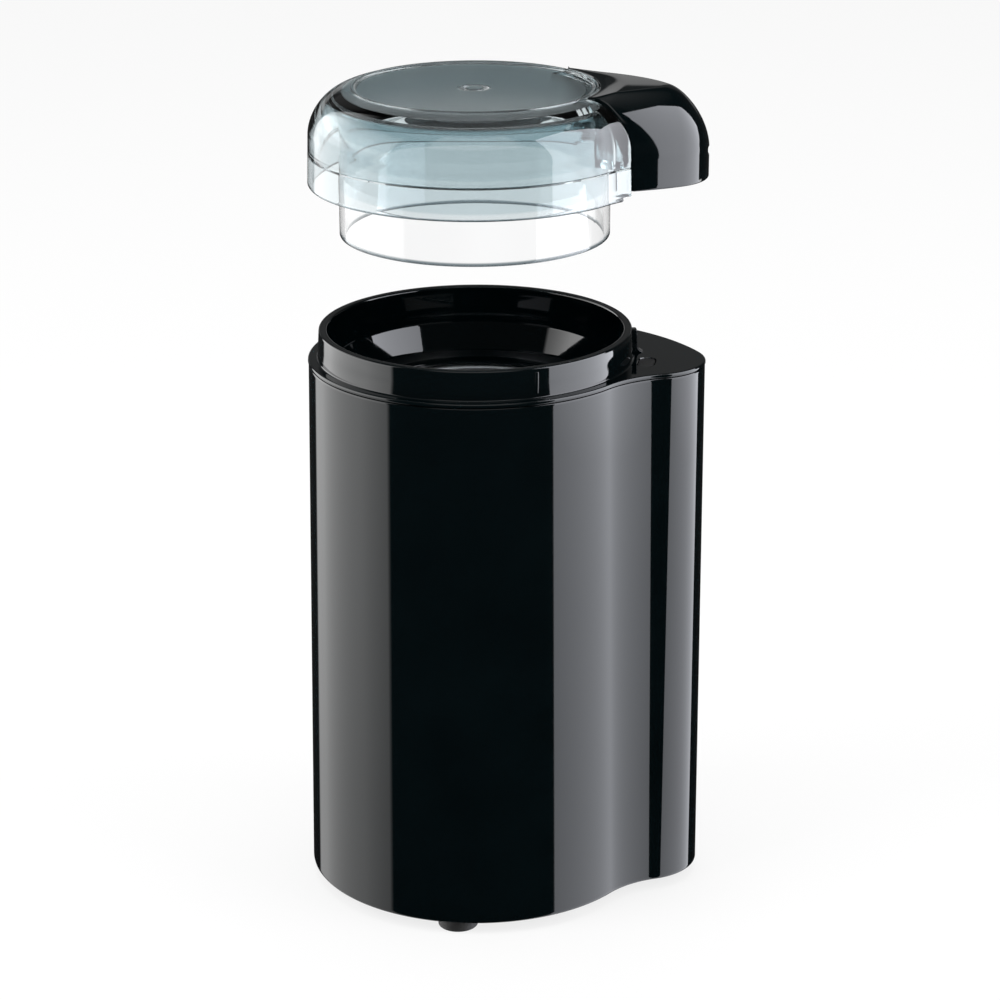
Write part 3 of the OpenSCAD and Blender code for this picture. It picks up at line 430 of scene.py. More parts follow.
LOOKS = {
    "black_gloss": material("black_gloss", (0.0005, 0.0022, 0.0028), (0.001, 0.0032, 0.004), (0.03, 0.05),
                            grain=60.0, fine=420.0, strength=0.012, distance=2e-5),
    "black_satin": material("black_satin", (0.008, 0.0085, 0.009), (0.016, 0.0165, 0.017), (0.36, 0.5),
                            grain=300.0, fine=3800.0, strength=0.3, distance=4e-5),
    "smoked_clear": smoked_plastic("smoked_clear"),
    "stainless": material("stainless", (0.5, 0.5, 0.505), (0.66, 0.66, 0.67), (0.3, 0.44), metal=1.0,
                          grain=1.0, fine=1.0, strength=0.12, distance=1.5e-5, around=True,
                          stretch=(5200.0, 3.0, 4200.0)),
    "zinc_steel": material("zinc_steel", (0.42, 0.42, 0.41), (0.6, 0.59, 0.57), (0.28, 0.42), metal=1.0,
                           grain=700.0, fine=3000.0),
    "bracket_steel": material("bracket_steel", (0.16, 0.17, 0.18), (0.27, 0.28, 0.29), (0.4, 0.55), metal=0.8,
                              grain=250.0, fine=1800.0, strength=0.2),
    "lamination": banded("lamination", (0.12, 0.125, 0.13), (0.36, 0.37, 0.38), (0.35, 0.5), 0.0005,
                         metal=0.9),
    "copper_wire": banded("copper_wire", (0.22, 0.08, 0.025), (0.66, 0.28, 0.1), (0.25, 0.38), 0.0006,
                          metal=0.8),
    "copper": material("copper", (0.62, 0.3, 0.16), (0.78, 0.42, 0.25), (0.2, 0.34), metal=1.0, around=True,
                       stretch=(1, 1, 9), grain=500.0, fine=1600.0),
    "sinter_bronze": material("sinter_bronze", (0.3, 0.19, 0.07), (0.5, 0.34, 0.14), (0.4, 0.6), metal=0.9,
                              grain=2200.0, fine=6000.0, strength=0.3),
    "brass": material("brass", (0.56, 0.42, 0.16), (0.7, 0.55, 0.24), (0.22, 0.36), metal=1.0),
    "carbon": material("carbon", (0.02, 0.02, 0.02), (0.045, 0.045, 0.045), (0.5, 0.7), grain=900.0,
                       fine=5000.0, strength=0.3),
    "rubber": material("rubber", (0.013, 0.013, 0.013), (0.026, 0.026, 0.026), (0.5, 0.68), grain=500.0,
                       fine=3500.0, strength=0.35, distance=5e-5),
    "spring_steel": material("spring_steel", (0.5, 0.5, 0.5), (0.68, 0.68, 0.68), (0.18, 0.3), metal=1.0,
                             grain=900.0, fine=4000.0),
    "switch_case": material("switch_case", (0.014, 0.014, 0.015), (0.028, 0.028, 0.03), (0.42, 0.55),
                            grain=600.0, fine=3500.0, strength=0.25),
    "switch_red": material("switch_red", (0.36, 0.025, 0.02), (0.5, 0.045, 0.035), (0.3, 0.42), grain=600.0,
                           fine=3000.0),
}

SLOT_OF = {
    "base_plate": "black_satin", "base_screws": "zinc_steel", "bowl_gasket": "rubber", "shaft_seal": "rubber",
    "motor_top_bracket": "bracket_steel", "bracket_screws": "zinc_steel", "upper_bearing": "sinter_bronze",
    "lower_bearing": "sinter_bronze", "stator_core": "lamination", "field_coils": "copper_wire",
    "motor_bottom_bracket": "bracket_steel", "motor_screws": "zinc_steel", "brush_holders": "brass",
    "carbon_brushes": "carbon", "switch_bracket": "bracket_steel", "switch_body": "switch_case",
    "switch_plunger": "black_satin", "switch_button": "switch_red", "motor_shaft": "zinc_steel",
    "armature_core": "lamination", "armature_winding": "copper_wire", "commutator": "copper",
    "cooling_fan": "black_satin", "blade_nut": "stainless",
}
for name, slot in SLOT_OF.items():
    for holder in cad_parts[name].material_slots:
        holder.material = LOOKS[slot]


# Housing: drafted wall with rounded edges, and the cord's inlet at the back

def body_ring(inset, z, lean=None):
    share = (z - FOOT_H) / (HOUSING_TOP - FOOT_H)
    lean = DRAFT * share if lean is None else lean
    return [(x, y, z) for x, y in outline(inset, lean)]


def wall_ring(inset, z):
    return body_ring(inset + DRAFT * (z - FOOT_H) / (HOUSING_TOP - FOOT_H), z)


housing = Shell()
low_r, top_r = 0.5, 0.35
levels = [(low_r - low_r * math.cos(math.radians(a)), FOOT_H + low_r - low_r * math.sin(math.radians(a)))
          for a in (90, 60, 30, 0)]
levels += [(0, z) for z in (4, 9, 13.5, 18, 30, 50, 70, 90, 110, 128, 138, 141.6)]
levels += [(top_r - top_r * math.cos(math.radians(a)),
            HOUSING_TOP - top_r + top_r * math.sin(math.radians(a)))
           for a in (0, 30, 60, 90)]
levels += [(WALL, HOUSING_TOP), (WALL, 100), (WALL, 50), (WALL, 18), (WALL, 13.5), (WALL, FOOT_H)]
housing.sweep([wall_ring(inset, z) for inset, z in levels])
housing = housing.make("housing_shell")
inlet = Shell()
half, arch_low, arch_z, inlet_reach = 3.5, 1.5, 9.0, (37.9, 46.7)
arch = [(-half, arch_low), (half, arch_low), (half, arch_z)]
arch += [(half * math.cos(a), arch_z + half * math.sin(a)) for a in np.linspace(0.1, math.pi - 0.1, 12)]
arch += [(-half, arch_z)]
side = polar(1, INLET_TURN)
rings = [[(out * side[0] - u * side[1], out * side[1] + u * side[0], z) for u, z in arch]
         for out in inlet_reach]
inlet.sweep(rings, wrap_profile=False)
inlet.flat(rings[0])
inlet.flat(rings[1])
cut(housing, inlet.make("inlet_cutter"))
bosses = Shell()
for turn in BOSS_TURNS:
    x, y = polar(BOSS_DIST, turn)
    bosses.lathe([(1.4, 6), (3.6, 6), (3.6, 17.7), (3.3, 18), (1.4, 18)], 40, (x, y))
add_islands(housing, bosses)
place(housing, "body", "black_gloss", LOOKS["black_gloss"], "housing")

# Top cover: deck with a groove under its edge, collar, funnel and barrel in one closed sweep
DECK_INSET, DECK_ROUND, GROOVE_INSET, UNDER_R = 1.45, 0.5, 2.1, 39.6
COLLAR_OUT, COLLAR_IN, RIM_ROUND, FILLET = 40.2, 38.0, 0.55, 0.4
deck = outline(DECK_INSET, DRAFT)
turns = np.arctan2(deck[:, 1], deck[:, 0])


def round_ring(r, z):
    return [(r * math.cos(a), r * math.sin(a), z) for a in turns]


def deck_ring(inset, z):
    return body_ring(inset, z, DRAFT)


cover = Shell()
round_z = DECK_Z - DECK_ROUND
rings = [round_ring(UNDER_R, HOUSING_TOP), deck_ring(GROOVE_INSET, HOUSING_TOP),
         deck_ring(GROOVE_INSET, HOUSING_TOP + 0.22)]
rings += [deck_ring(inset, z) for inset, z in [(1.62, 142.44), (1.5, 142.5), (DECK_INSET, 142.62),
                                               (DECK_INSET, round_z)]]
rings += [deck_ring(DECK_INSET + DECK_ROUND - DECK_ROUND * math.cos(math.radians(a)),
                    round_z + DECK_ROUND * math.sin(math.radians(a))) for a in (15, 30, 45, 60, 75, 90)]
rings += [deck_ring(2.2, DECK_Z), round_ring(41.3, DECK_Z)]
rings += [round_ring(r, z) for r, z in quarter(41.0, DECK_Z + FILLET, FILLET, 270, 180)]
rings += [round_ring(40.4, 147.0)]
rings += [round_ring(r, z) for r, z in quarter(COLLAR_OUT - RIM_ROUND, RIM_Z - RIM_ROUND, RIM_ROUND, 0, 90)]
rings += [round_ring(r, z) for r, z in quarter(COLLAR_IN + RIM_ROUND, RIM_Z - RIM_ROUND, RIM_ROUND, 90, 180)]
rings += [round_ring(r, z) for r, z in [(37.7, 143.4), (37.62, 141.6), (37.57, 141.2), (37.44, 140.8),
                                         (35.06, 134.75), (34.93, 134.35), (34.9, 133.9),
                                         (34.9, BOWL_Z + 0.8), (34.83, BOWL_Z + 0.65), (34.65, BOWL_Z + 0.6),
                                         (34.65, BOWL_Z - 1.3), (33.7, BOWL_Z - 1.3), (33.7, BARREL_LOW),
                                         (35.9, BARREL_LOW), (35.9, BOWL_Z - 4.3), (36.9, BOWL_Z + 0.6),
                                         (UNDER_R, 141.2)]]
cover.sweep(rings)
cover = cover.make("top_cover_shell")


def stadium(w, l, z, steps=14):
    """Ring of points round a slot with round ends, at the switch's place."""
    points = [(w / 2 * math.cos(a), (l - w) / 2 + w / 2 * math.sin(a))
              for a in np.linspace(0, math.pi, steps)]
    points += [(-x, -y) for x, y in points]
    c, s = math.cos(math.radians(SLOT_TURN)), math.sin(math.radians(SLOT_TURN))
    return [(c * (x + SLOT_DIST) - s * y, s * (x + SLOT_DIST) + c * y, z) for x, y in points]


slot_cut = Shell()
rings = [stadium(4.4, 8, 140), stadium(4.4, 8, 143.15), stadium(4.9, 8.5, 143.45), stadium(5.4, 9, 145)]
slot_cut.sweep(rings, wrap_profile=False)
slot_cut.flat(rings[0])
slot_cut.flat(rings[-1])
cut(cover, slot_cut.make("slot_cutter"))
extras = Shell()
extras.sweep([deck_ring(inset, z) for inset, z in [(4.05, 142.25), (4.05, 137.2), (5.55, 137.2),
                                                    (5.55, 142.25)]])
extras.sweep([stadium(7.8, 11.4, 123.65), stadium(7.8, 11.4, 142.3), stadium(4.8, 8.4, 142.3),
              stadium(4.8, 8.4, 123.65)])
for turn in LUG_TURNS:
    x, y = polar(LUG_DIST, turn)
    lug = [(1.4, 0), (3.2, 0), (3.2, 8.5), (2.9, 8.8), (1.4, 8.8)]
    extras.lathe([(r, BARREL_LOW + z) for r, z in lug], 40, (x, y))
for turn in RIB_TURNS:
    extras.block((1.35, 1.0, 6.7), low=DECK_Z - 0.1, turn=turn, out=39.2, round_r=0.15)
ridge = [(39.4, DECK_Z - 0.1), (43.4, DECK_Z - 0.1), (43.2, DECK_Z + 0.05)]
ridge += quarter(43.4, DECK_Z + 1.75, 1.6, 250, 180, 8) + [(41.72, DECK_Z + 3.4)]
ridge += quarter(41.2, DECK_Z + 5.5, 0.5, 0, 90, 5) + [(39.4, DECK_Z + 6.0)]
out, aside = polar(1, RIDGE_TURN), polar(1, RIDGE_TURN + 90)
rings = []
for across, shift in ((-1.5, 0.25), (-1.44, 0.1), (-1.25, 0), (1.25, 0), (1.44, 0.1), (1.5, 0.25)):
    rings.append([(*((r - shift) * out + across * aside), z - shift * (z > DECK_Z + 5.2)) for r, z in ridge])
extras.sweep(rings, wrap_profile=False)
extras.flat(rings[0])
extras.flat(rings[-1])
add_islands(cover, extras)
place(cover, "body", "black_gloss", LOOKS["black_gloss"], "top_cover")

# Grinding bowl
bowl = Shell()
hole_r, flat_r, turn_r, sheet = 6.5, 24.2, 7.0, 0.7
turn_z = BOWL_FLOOR + turn_r
bowl.lathe([(hole_r, BOWL_FLOOR - sheet), (flat_r, BOWL_FLOOR - sheet)]
           + quarter(flat_r, turn_z, turn_r + sheet, -75, 0, 8)
           + [(33.15, BOWL_Z - 1.3), (33.4, BOWL_Z - 0.8), (34.2, BOWL_Z - sheet)]
           + quarter(34.1, BOWL_Z - 0.35, 0.3, -60, 90, 5) + [(33.4, BOWL_Z)]
           + quarter(33.35, BOWL_Z - 0.75, 0.75, 90, 180, 8) + [(flat_r + turn_r, turn_z)]
           + quarter(flat_r, turn_z, turn_r, -8, -90, 10) + [(hole_r, BOWL_FLOOR)], 256)
place(bowl.make("grinding_bowl"), "body", "stainless", LOOKS["stainless"], "steel_bowl")

# Feet with a moulded ring under them
feet = Shell()
for turn in FOOT_TURNS:
    x, y = polar(FOOT_DIST, turn)
    feet.lathe([(0, 0.4), (1.7, 0.4), (2.1, 0.1), (2.4, 0.0)] + quarter(4.6, 0.6, 0.6, -90, 0, 5)
               + [(5.2, 2.2), (5.05, 2.5), (5.05, 3.0), (2.0, 3.0), (2.0, 6.0), (0, 6.0)], 72, (x, y))
place(feet.make("rubber_feet"), "body", "rubber", LOOKS["rubber"], "feet")

# Blade with rounded edges, from the solid's own form
blade_weld, level_turn, edge_turn, edge_r = 1e-6, math.radians(2), math.radians(50), 0.00025
blade_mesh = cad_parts["blade"].data.copy()
bm = bmesh.new()
bm.from_mesh(blade_mesh)
bmesh.ops.remove_doubles(bm, verts=bm.verts, dist=blade_weld)
bmesh.ops.dissolve_limit(bm, angle_limit=level_turn, verts=bm.verts, edges=bm.edges)
sharp_edges = [e for e in bm.edges if len(e.link_faces) == 2 and e.calc_face_angle(0) > edge_turn]
bmesh.ops.bevel(bm, geom=sharp_edges, offset=edge_r, segments=2, profile=0.5, affect="EDGES",
                clamp_overlap=True)
bmesh.ops.remove_doubles(bm, verts=bm.verts, dist=blade_weld)
bmesh.ops.recalc_face_normals(bm, faces=bm.faces)
bm.to_mesh(blade_mesh)
bm.free()
blade = bpy.data.objects.new("cutting_blade", blade_mesh)
scene.collection.objects.link(blade)
smooth(blade)
place(blade, "rotor", "stainless", LOOKS["stainless"], "blade")


# Springs, wound with ground ends
WIRE_R, COIL_STEPS, COIL_SIDES, CLOSED_ENDS = 0.25, 36, 10, 0.35


def coil(shell, centre, axis, start, length, r, count, wire=WIRE_R):
    """Round wire along a helix with closed end turns."""
    rings = int(count * COIL_STEPS)
    across = np.cross(axis, (0, 0, 1.0)) if abs(axis[2]) < 0.5 else np.array([1.0, 0, 0])
    across = across / np.linalg.norm(across)
    third = np.cross(axis, across)
    made = []
    for k in range(rings + 1):
        t = k / rings
        a = 2 * math.pi * count * t
        up = wire + (length - 2 * wire) * (t * t * (3 - 2 * t) * CLOSED_ENDS + t * (1 - CLOSED_ENDS))
        out = math.cos(a) * across + math.sin(a) * third
        middle = np.array(centre) + np.array(axis) * (start + up) + out * r
        made.append([middle + wire * (math.cos(b) * out + math.sin(b) * np.array(axis))
                     for b in np.linspace(0, 2 * math.pi, COIL_SIDES, endpoint=False)])
    shell.sweep(made, wrap_profile=False)
    shell.flat(made[0])
    shell.flat(made[-1])


bar_springs = Shell()
for turn in POST_TURNS:
    x, y = polar(POST_DIST, turn)
    coil(bar_springs, (x, y, 0), (0, 0, 1), start=LID_Z + 9.6, length=6.4, r=1.2, count=4)
bar_springs = place(bar_springs.make("bar_return_springs"), "lid", "spring_steel", LOOKS["spring_steel"],
                    "push_bar_springs")
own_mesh(bar_springs)

slot_x, slot_y = polar(SLOT_DIST, SLOT_TURN)
pin_spring = Shell()
coil(pin_spring, (slot_x, slot_y, 0), (0, 0, 1), start=123.65, length=10.5, r=1.65, count=7)
pin_spring = place(pin_spring.make("plunger_return_spring"), "body", "spring_steel", LOOKS["spring_steel"],
                   "plunger_spring")
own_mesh(pin_spring)

brush_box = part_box("brush_springs")
brush_z = (brush_box[0].z + brush_box[1].z) * 500
push_length = 5.5
push_springs = Shell()
for side_y in (1, -1):
    start = brush_box[1].y * 1000 - push_length
    coil(push_springs, (0, 0, brush_z), (0, side_y, 0), start, push_length, r=1.9, count=4)
place(push_springs.make("brush_push_springs"), "body", "spring_steel", LOOKS["spring_steel"], "brush_springs")

# Lid: three zones round the axis, each with its own profile, welded into one closed solid
lid_radius = outline_radius(LID_INSET, LID_INSET)
GAP_TURN, EAR_TURN, EAR_T = 0.56, 3.3, 2.2
ROUND_EDGE, LID_ROUND = 0.35, 0.6
STRIP_Z, LINE_Z = 1.2, 8.15
TUBE_IN, TUBE_OUT, HOLLOW_R, LEDGE_R = 32.8, 34.3, 39.4, 40.4
DISC_IN, UNDER_Z, EAR_Z = 28.0, 21.7, 19.15
LEDGE_Z, SHELF_Z, POCKET_Z = 7.8, 9.6, 20.75


def edge_shift(distance):
    """How far a rounded edge stands back at a distance from the face that ends it."""
    r = ROUND_EDGE
    return 0.0 if distance >= r else r - math.sqrt(max(r * r - (r - distance) ** 2, 0.0))


def dome_curve(r0, z0, r1, z1, steps):
    """Points of the rounded shoulder from (r0, z0) up to (r1, z1)."""
    power = 2 / DOME_POWER
    return [(r1 + (r0 - r1) * max(math.cos(a), 0) ** power, z0 + (z1 - z0) * math.sin(a) ** power)
            for a in np.linspace(0, math.pi / 2, steps + 1)]


def set_back(points, shift):
    """Moves a profile's outer points in across their own slope."""
    if shift <= 0:
        return points
    moved = []
    for i, p in enumerate(points):
        a, b = points[max(i - 1, 0)], points[min(i + 1, len(points) - 1)]
        along = np.array([b[0] - a[0], b[1] - a[1]])
        along = along / (np.linalg.norm(along) or 1)
        moved.append((p[0] - along[1] * shift, p[1] + along[0] * shift))
    return moved


def lid_outside(turn, shift=0.0, whole=True):
    """Outer profile of the lid from its lower edge up to the flat top's edge."""
    out = lid_radius(turn)
    low = quarter(out - LID_ROUND, LID_ROUND, LID_ROUND, -90, 0)
    side_points = [(out - 0.03, STRIP_Z), (out - 0.1, 4.6), (out - 0.17, 7.5), (out - 0.18, LINE_Z - 0.3),
                   (out - 0.48, LINE_Z), (out - 0.2, LINE_Z + 0.3), (out - 0.21, 8.8)]
    points = (low if whole else []) + side_points + dome_curve(out - 0.3, SKIRT_H, EDGE_R, LID_H, 40)[:-1]
    return set_back(points, shift)


LID_TOP = [(EDGE_R, LID_H), (EDGE_R, 24.4), (31.05, 24.52), (30.92, 24.6), (30.35, 24.6), (30.2, 24.55),
           (30.08, 24.45), (29.8, 24.02), (29.6, 23.92), (29.4, 23.9), (29.0, 23.9), (4.6, 23.9), (3.9, 23.9),
           (3.75, 23.84), (3.2, 22.9), (2.9, 22.9), (2.35, 23.84), (2.2, 23.9), (1.6, 23.9), (0.0, 23.9),
           (0.0, UNDER_Z), (DISC_IN, UNDER_Z)]
LID_TUBE = [(TUBE_IN, -12.4), (TUBE_IN, -12.9), (32.9, -13.12), (33.1, -13.2), (34.0, -13.2), (34.2, -13.12),
            (TUBE_OUT, -12.9), (TUBE_OUT, -12.4), (TUBE_OUT, LEDGE_Z)]
EAR_STEP = [(DISC_IN, EAR_Z), (TUBE_IN, EAR_Z)]
LID_HOLLOW = dome_curve(HOLLOW_R, SKIRT_H, TUBE_OUT, 20.7, 20)[::-1]
LID_SKIRT = [(HOLLOW_R, LEDGE_Z), (LEDGE_R, 8.05), (40.6, 8.05), (40.85, STRIP_Z)]
LID_LOW = [(40.88, 0.3), (41.1, 0.0)]


def lid_full(turn):
    return (lid_outside(turn) + LID_TOP + [(TUBE_IN, UNDER_Z), (TUBE_IN, EAR_Z)] + LID_TUBE + LID_HOLLOW
            + LID_SKIRT + LID_LOW)


def lid_ear(turn, shift=0.0):
    return lid_outside(turn, shift, False) + LID_TOP + EAR_STEP + LID_TUBE + LID_SKIRT


def lid_pocket():
    return ([(EDGE_R, POCKET_Z)] + LID_TOP + EAR_STEP + LID_TUBE + LID_SKIRT[:2]
            + [(LEDGE_R, SHELF_Z), (TUBE_OUT, SHELF_Z), (TUBE_OUT, POCKET_Z)])


def at_turn(profile, turn):
    c, s = math.cos(math.radians(turn)), math.sin(math.radians(turn))
    return [(r * c, r * s, LID_Z + z) for r, z in profile]


def columns(shell, profiles):
    """Sweep of closed profiles given one by one round the axis."""
    shell.sweep([at_turn(p, a) for a, p in profiles], wrap_profile=False)


# Distances from a face at which a rounded edge gets its profiles
edge_steps = [0, 0.04, 0.1, 0.18, 0.27, 0.36]

lid = Shell()
near_face, far_face = BAR_NEAR - GAP_TURN, BAR_FAR + GAP_TURN
near_ear, far_ear = near_face - EAR_TURN, far_face + EAR_TURN
columns(lid, [(a, lid_full(a)) for a in np.concatenate([np.linspace(far_ear, 320, 230),
                                                         np.linspace(320, near_ear + 360, 30)[1:]])])
ear_steps = np.concatenate([edge_steps, np.linspace(0.6, EAR_T, 6)])
for face, way in ((near_face, -EAR_TURN / EAR_T), (far_face, EAR_TURN / EAR_T)):
    columns(lid, [(face + way * d, lid_ear(face + way * d, edge_shift(d))) for d in ear_steps])
columns(lid, [(a, lid_pocket()) for a in np.linspace(near_face, far_face, 60)])
for turn in (near_ear, far_ear):
    lid.flat(at_turn([(DISC_IN, UNDER_Z), (TUBE_IN, UNDER_Z)] + EAR_STEP[::-1], turn))
    lid.flat(at_turn([(TUBE_OUT, LEDGE_Z)] + LID_HOLLOW + [(HOLLOW_R, LEDGE_Z)], turn))
    lid.flat(at_turn([LID_SKIRT[-1]] + LID_LOW + lid_outside(turn)[:7], turn))
for turn in (near_face, far_face):
    lid.flat(at_turn([(EDGE_R, POCKET_Z), (TUBE_OUT, POCKET_Z), (TUBE_OUT, SHELF_Z), (LEDGE_R, SHELF_Z)]
                     + LID_SKIRT[1:] + lid_outside(turn, edge_shift(0), False) + [(EDGE_R, LID_H)], turn))
lid = lid.make("lid_dome")
place(lid, "lid", "smoked_clear", LOOKS["smoked_clear"], "lid_cover")

# Press bar: the body's outline stepped in toward the top, hollow below, with a grip notch at its end
LIP_R, WALL_IN, LOW_IN, SHELF_OUT = 31.45, 34.65, 11.25, 40.75
SIDE_TURN, FLANK_R, ROUND_IN = 2.7, 60.0, SHOULDER_R - EDGE_R
LIP_ROUND, LIP_LOW, BAR_ROUND = 0.6, 22.4, 0.5
CROWN_RUN, CROWN_POWER, CROWN_Y, CROWN_HALF = 6.0, 6, -6, 24
wall_near, wall_far = BAR_NEAR + SIDE_TURN, BAR_FAR - SIDE_TURN
bar_curve = [(max(math.cos(a), 0) ** (2 / BAR_POWER), math.sin(a) ** (2 / BAR_POWER))
             for a in np.linspace(0, math.pi / 2, 49)]


def bar_radius(inset, near, far):
    """Radius of the bar's outline by direction, with a bowed near flank and a straight far one."""
    line = outline_radius(LID_INSET + inset, LID_INSET)
    start, nose = polar(line(near), near), np.array([NOSE_DIST + LID_INSET, 0.0])
    nose_r, bow = NOSE_R - LID_INSET - inset, FLANK_R - inset
    between = nose - start
    gap = float(np.hypot(*between))
    tilt = angle_to(between) + corner(bow, gap, bow - nose_r)
    centre = start + polar(bow, tilt)
    flank_end = angle_to(nose + (nose - centre) * nose_r / np.hypot(*(nose - centre)))
    chain = []
    for a in np.concatenate([[near], np.arange(near + 0.4, far - 0.1, 0.4), [far]]):
        p = polar(line(a), a)
        while len(chain) > 1:
            last, step = chain[-1] - chain[-2], p - chain[-1]
            if last[0] * step[1] - last[1] * step[0] > 0:
                break
            chain.pop()
        chain.append(p)
    turns = [angle_to(p) for p in chain]

    def radius(a):
        if a < flank_end:
            ray = polar(1, a)
            half = ray @ centre
            return float(half + math.sqrt(half * half - centre @ centre + bow * bow))
        k = min(max(int(np.searchsorted(turns, a)), 1), len(chain) - 1)
        p, along, ray = chain[k - 1], chain[k] - chain[k - 1], polar(1, a)
        return (p[0] * along[1] - p[1] * along[0]) / (ray[0] * along[1] - ray[1] * along[0])

    return radius


outer_rings = [bar_radius(ROUND_IN * (1 - share), BAR_NEAR, BAR_FAR) for share, _ in bar_curve]
inner_rings = [bar_radius(BAR_T + ROUND_IN * (1 - share), wall_near, wall_far) for share, _ in bar_curve]
GRIP_Y, GRIP_Z, GRIP_HALF, GRIP_R, GRIP_DEPTH = 1.9, 9.0, 4.4, 1.15, 0.85
GRIP_FROM_X, GRIP_END = 50, 0.9


def grip(x, y, z):
    """Depth of the notch for a fingertip at a point of the bar's outer wall."""
    inside = GRIP_HALF - abs(y - GRIP_Y)
    if x < GRIP_FROM_X or inside < 0:
        return 0.0
    across = max(0.0, 1 - ((z - GRIP_Z) / GRIP_R) ** 2)
    ends = min(1.0, inside / GRIP_END)
    return GRIP_DEPTH * math.sqrt(across) * math.sqrt(ends)


def crown(x, y, z):
    """Lift of the bar's top, which is slightly domed away from its lip."""
    away = min(max((math.hypot(x, y) - LIP_R - LIP_ROUND) / CROWN_RUN, 0.0), 1.0)
    high = max((z - BAR_SIDE) / (BAR_TOP - BAR_SIDE), 0.0) ** CROWN_POWER
    return away * away * (3 - 2 * away) * high * math.cos(math.pi / 2 * (y - CROWN_Y) / CROWN_HALF)


BAR_LEVELS = np.concatenate([[3.4, 4.6, 6.2, 7.4], np.linspace(7.7, 9.9, 23)])


def bar_outside(turn, shift=0.0):
    c, s = math.cos(math.radians(turn)), math.sin(math.radians(turn))
    wall = [(outer_rings[0](turn), z) for z in BAR_LEVELS]
    wall += [(ring(turn), BAR_SIDE + (BAR_TOP - BAR_SIDE) * lift)
             for ring, (_, lift) in zip(outer_rings, bar_curve)]
    points = quarter(wall[0][0] - BAR_ROUND, BAR_LOW + BAR_ROUND, BAR_ROUND, -90, 0)
    wall += [(wall[-1][0] + (LIP_R + LIP_ROUND - wall[-1][0]) * t, BAR_TOP)
             for t in np.linspace(0, 1, 17)[1:]]
    points += [(r - grip(r * c, r * s, z), z + crown(r * c, r * s, z)) for r, z in wall]
    points += [(LIP_R + 0.3, BAR_TOP - 0.02), (LIP_R + 0.12, BAR_TOP - 0.06), (LIP_R, BAR_TOP - 0.25)]
    return points if shift <= 0 else set_back(points, shift)


def bar_hollow(turn):
    """Inner side of the bar's wall, from its inner wall's top out and down to the lower edge."""
    start, ceiling = WALL_IN + BAR_T, LID_H - BAR_T
    reach = [ring(turn) for ring in inner_rings][::-1]
    levels = [BAR_SIDE + (ceiling - BAR_SIDE) * lift for _, lift in bar_curve][::-1]
    first = float(np.interp(start, reach, range(len(reach))))
    steps = np.linspace(first, len(reach) - 1, 28)
    made = [(float(np.interp(k, range(len(reach)), reach)), float(np.interp(k, range(len(reach)), levels)))
            for k in steps]
    return [(start, made[0][1])] + made + [(reach[-1], BAR_LOW)]


BAR_INSIDE = [(LIP_R, LIP_LOW), (WALL_IN, LIP_LOW), (WALL_IN, LOW_IN), (WALL_IN + BAR_T, LOW_IN)]
BAR_SOLID = [(SHELF_OUT, LOW_IN), (SHELF_OUT, BAR_LOW)]


def bar_full(turn, shift=0.0):
    return bar_outside(turn, shift) + BAR_INSIDE + BAR_SOLID + [(inner_rings[0](turn), BAR_LOW)]


def bar_open(turn):
    return bar_outside(turn) + BAR_INSIDE + bar_hollow(turn)


lid_line = outline(LID_INSET, LID_INSET)
line_turns = np.degrees(np.arctan2(lid_line[:, 1], lid_line[:, 0]))
bar = Shell()
middle_turns = sorted(a for a in line_turns if wall_near + 0.1 < a < wall_far - 0.1)
middle_turns = [wall_near] + middle_turns + [wall_far]
side_steps = np.concatenate([edge_steps, np.linspace(0.7, BAR_T, 4)])
for face, way in ((BAR_NEAR, SIDE_TURN / BAR_T), (BAR_FAR, -SIDE_TURN / BAR_T)):
    columns(bar, [(face + way * d, bar_full(face + way * d, edge_shift(d))) for d in side_steps])
columns(bar, [(a, bar_open(a)) for a in middle_turns])
for turn in (wall_near, wall_far):
    bar.flat(at_turn([(WALL_IN + BAR_T, LOW_IN)] + bar_hollow(turn) + BAR_SOLID[::-1], turn))
for turn in (BAR_NEAR, BAR_FAR):
    bar.flat(at_turn(bar_full(turn, edge_shift(0)), turn))
bar = bar.make("press_bar")
posts = Shell()
for turn in POST_TURNS:
    x, y = polar(POST_DIST, turn)
    post = [(0, 16.0), (2.4, 16.0), (2.6, 16.2), (2.6, 22.5), (0, 22.5)]
    posts.lathe([(r, LID_Z + z) for r, z in post], 48, (x, y))
posts.block((2.4, 6.0, 22.2), low=LID_Z + 0.3, turn=SLOT_TURN, out=SLOT_DIST - 1.2, round_r=0.3)
add_islands(bar, posts)
place(bar, "bar", "black_gloss", LOOKS["black_gloss"], "push_bar")

# Camera at the photograph's place
yaw, pitch, roll = -0.081028, 0.337615, -0.002102
stand = Vector((0.0622, -0.77902, 0.378187))
ahead = Vector((math.sin(yaw) * math.cos(pitch), math.cos(yaw) * math.cos(pitch), -math.sin(pitch)))
right = Vector((math.cos(yaw), -math.sin(yaw), 0))
up = right.cross(ahead)
side_axis = right * math.cos(roll) + up * math.sin(roll)
up_axis = up * math.cos(roll) - right * math.sin(roll)
lens = bpy.data.cameras.new("camera")
lens.lens, lens.sensor_width = 114.1, 36.0
lens.clip_start, lens.clip_end = 0.01, 20.0
camera = bpy.data.objects.new("camera", lens)
camera.matrix_world = Matrix((
    (side_axis.x, up_axis.x, -ahead.x, stand.x),
    (side_axis.y, up_axis.y, -ahead.y, stand.y),
    (side_axis.z, up_axis.z, -ahead.z, stand.z),
    (0, 0, 0, 1)))
scene.collection.objects.link(camera)
scene.camera = camera

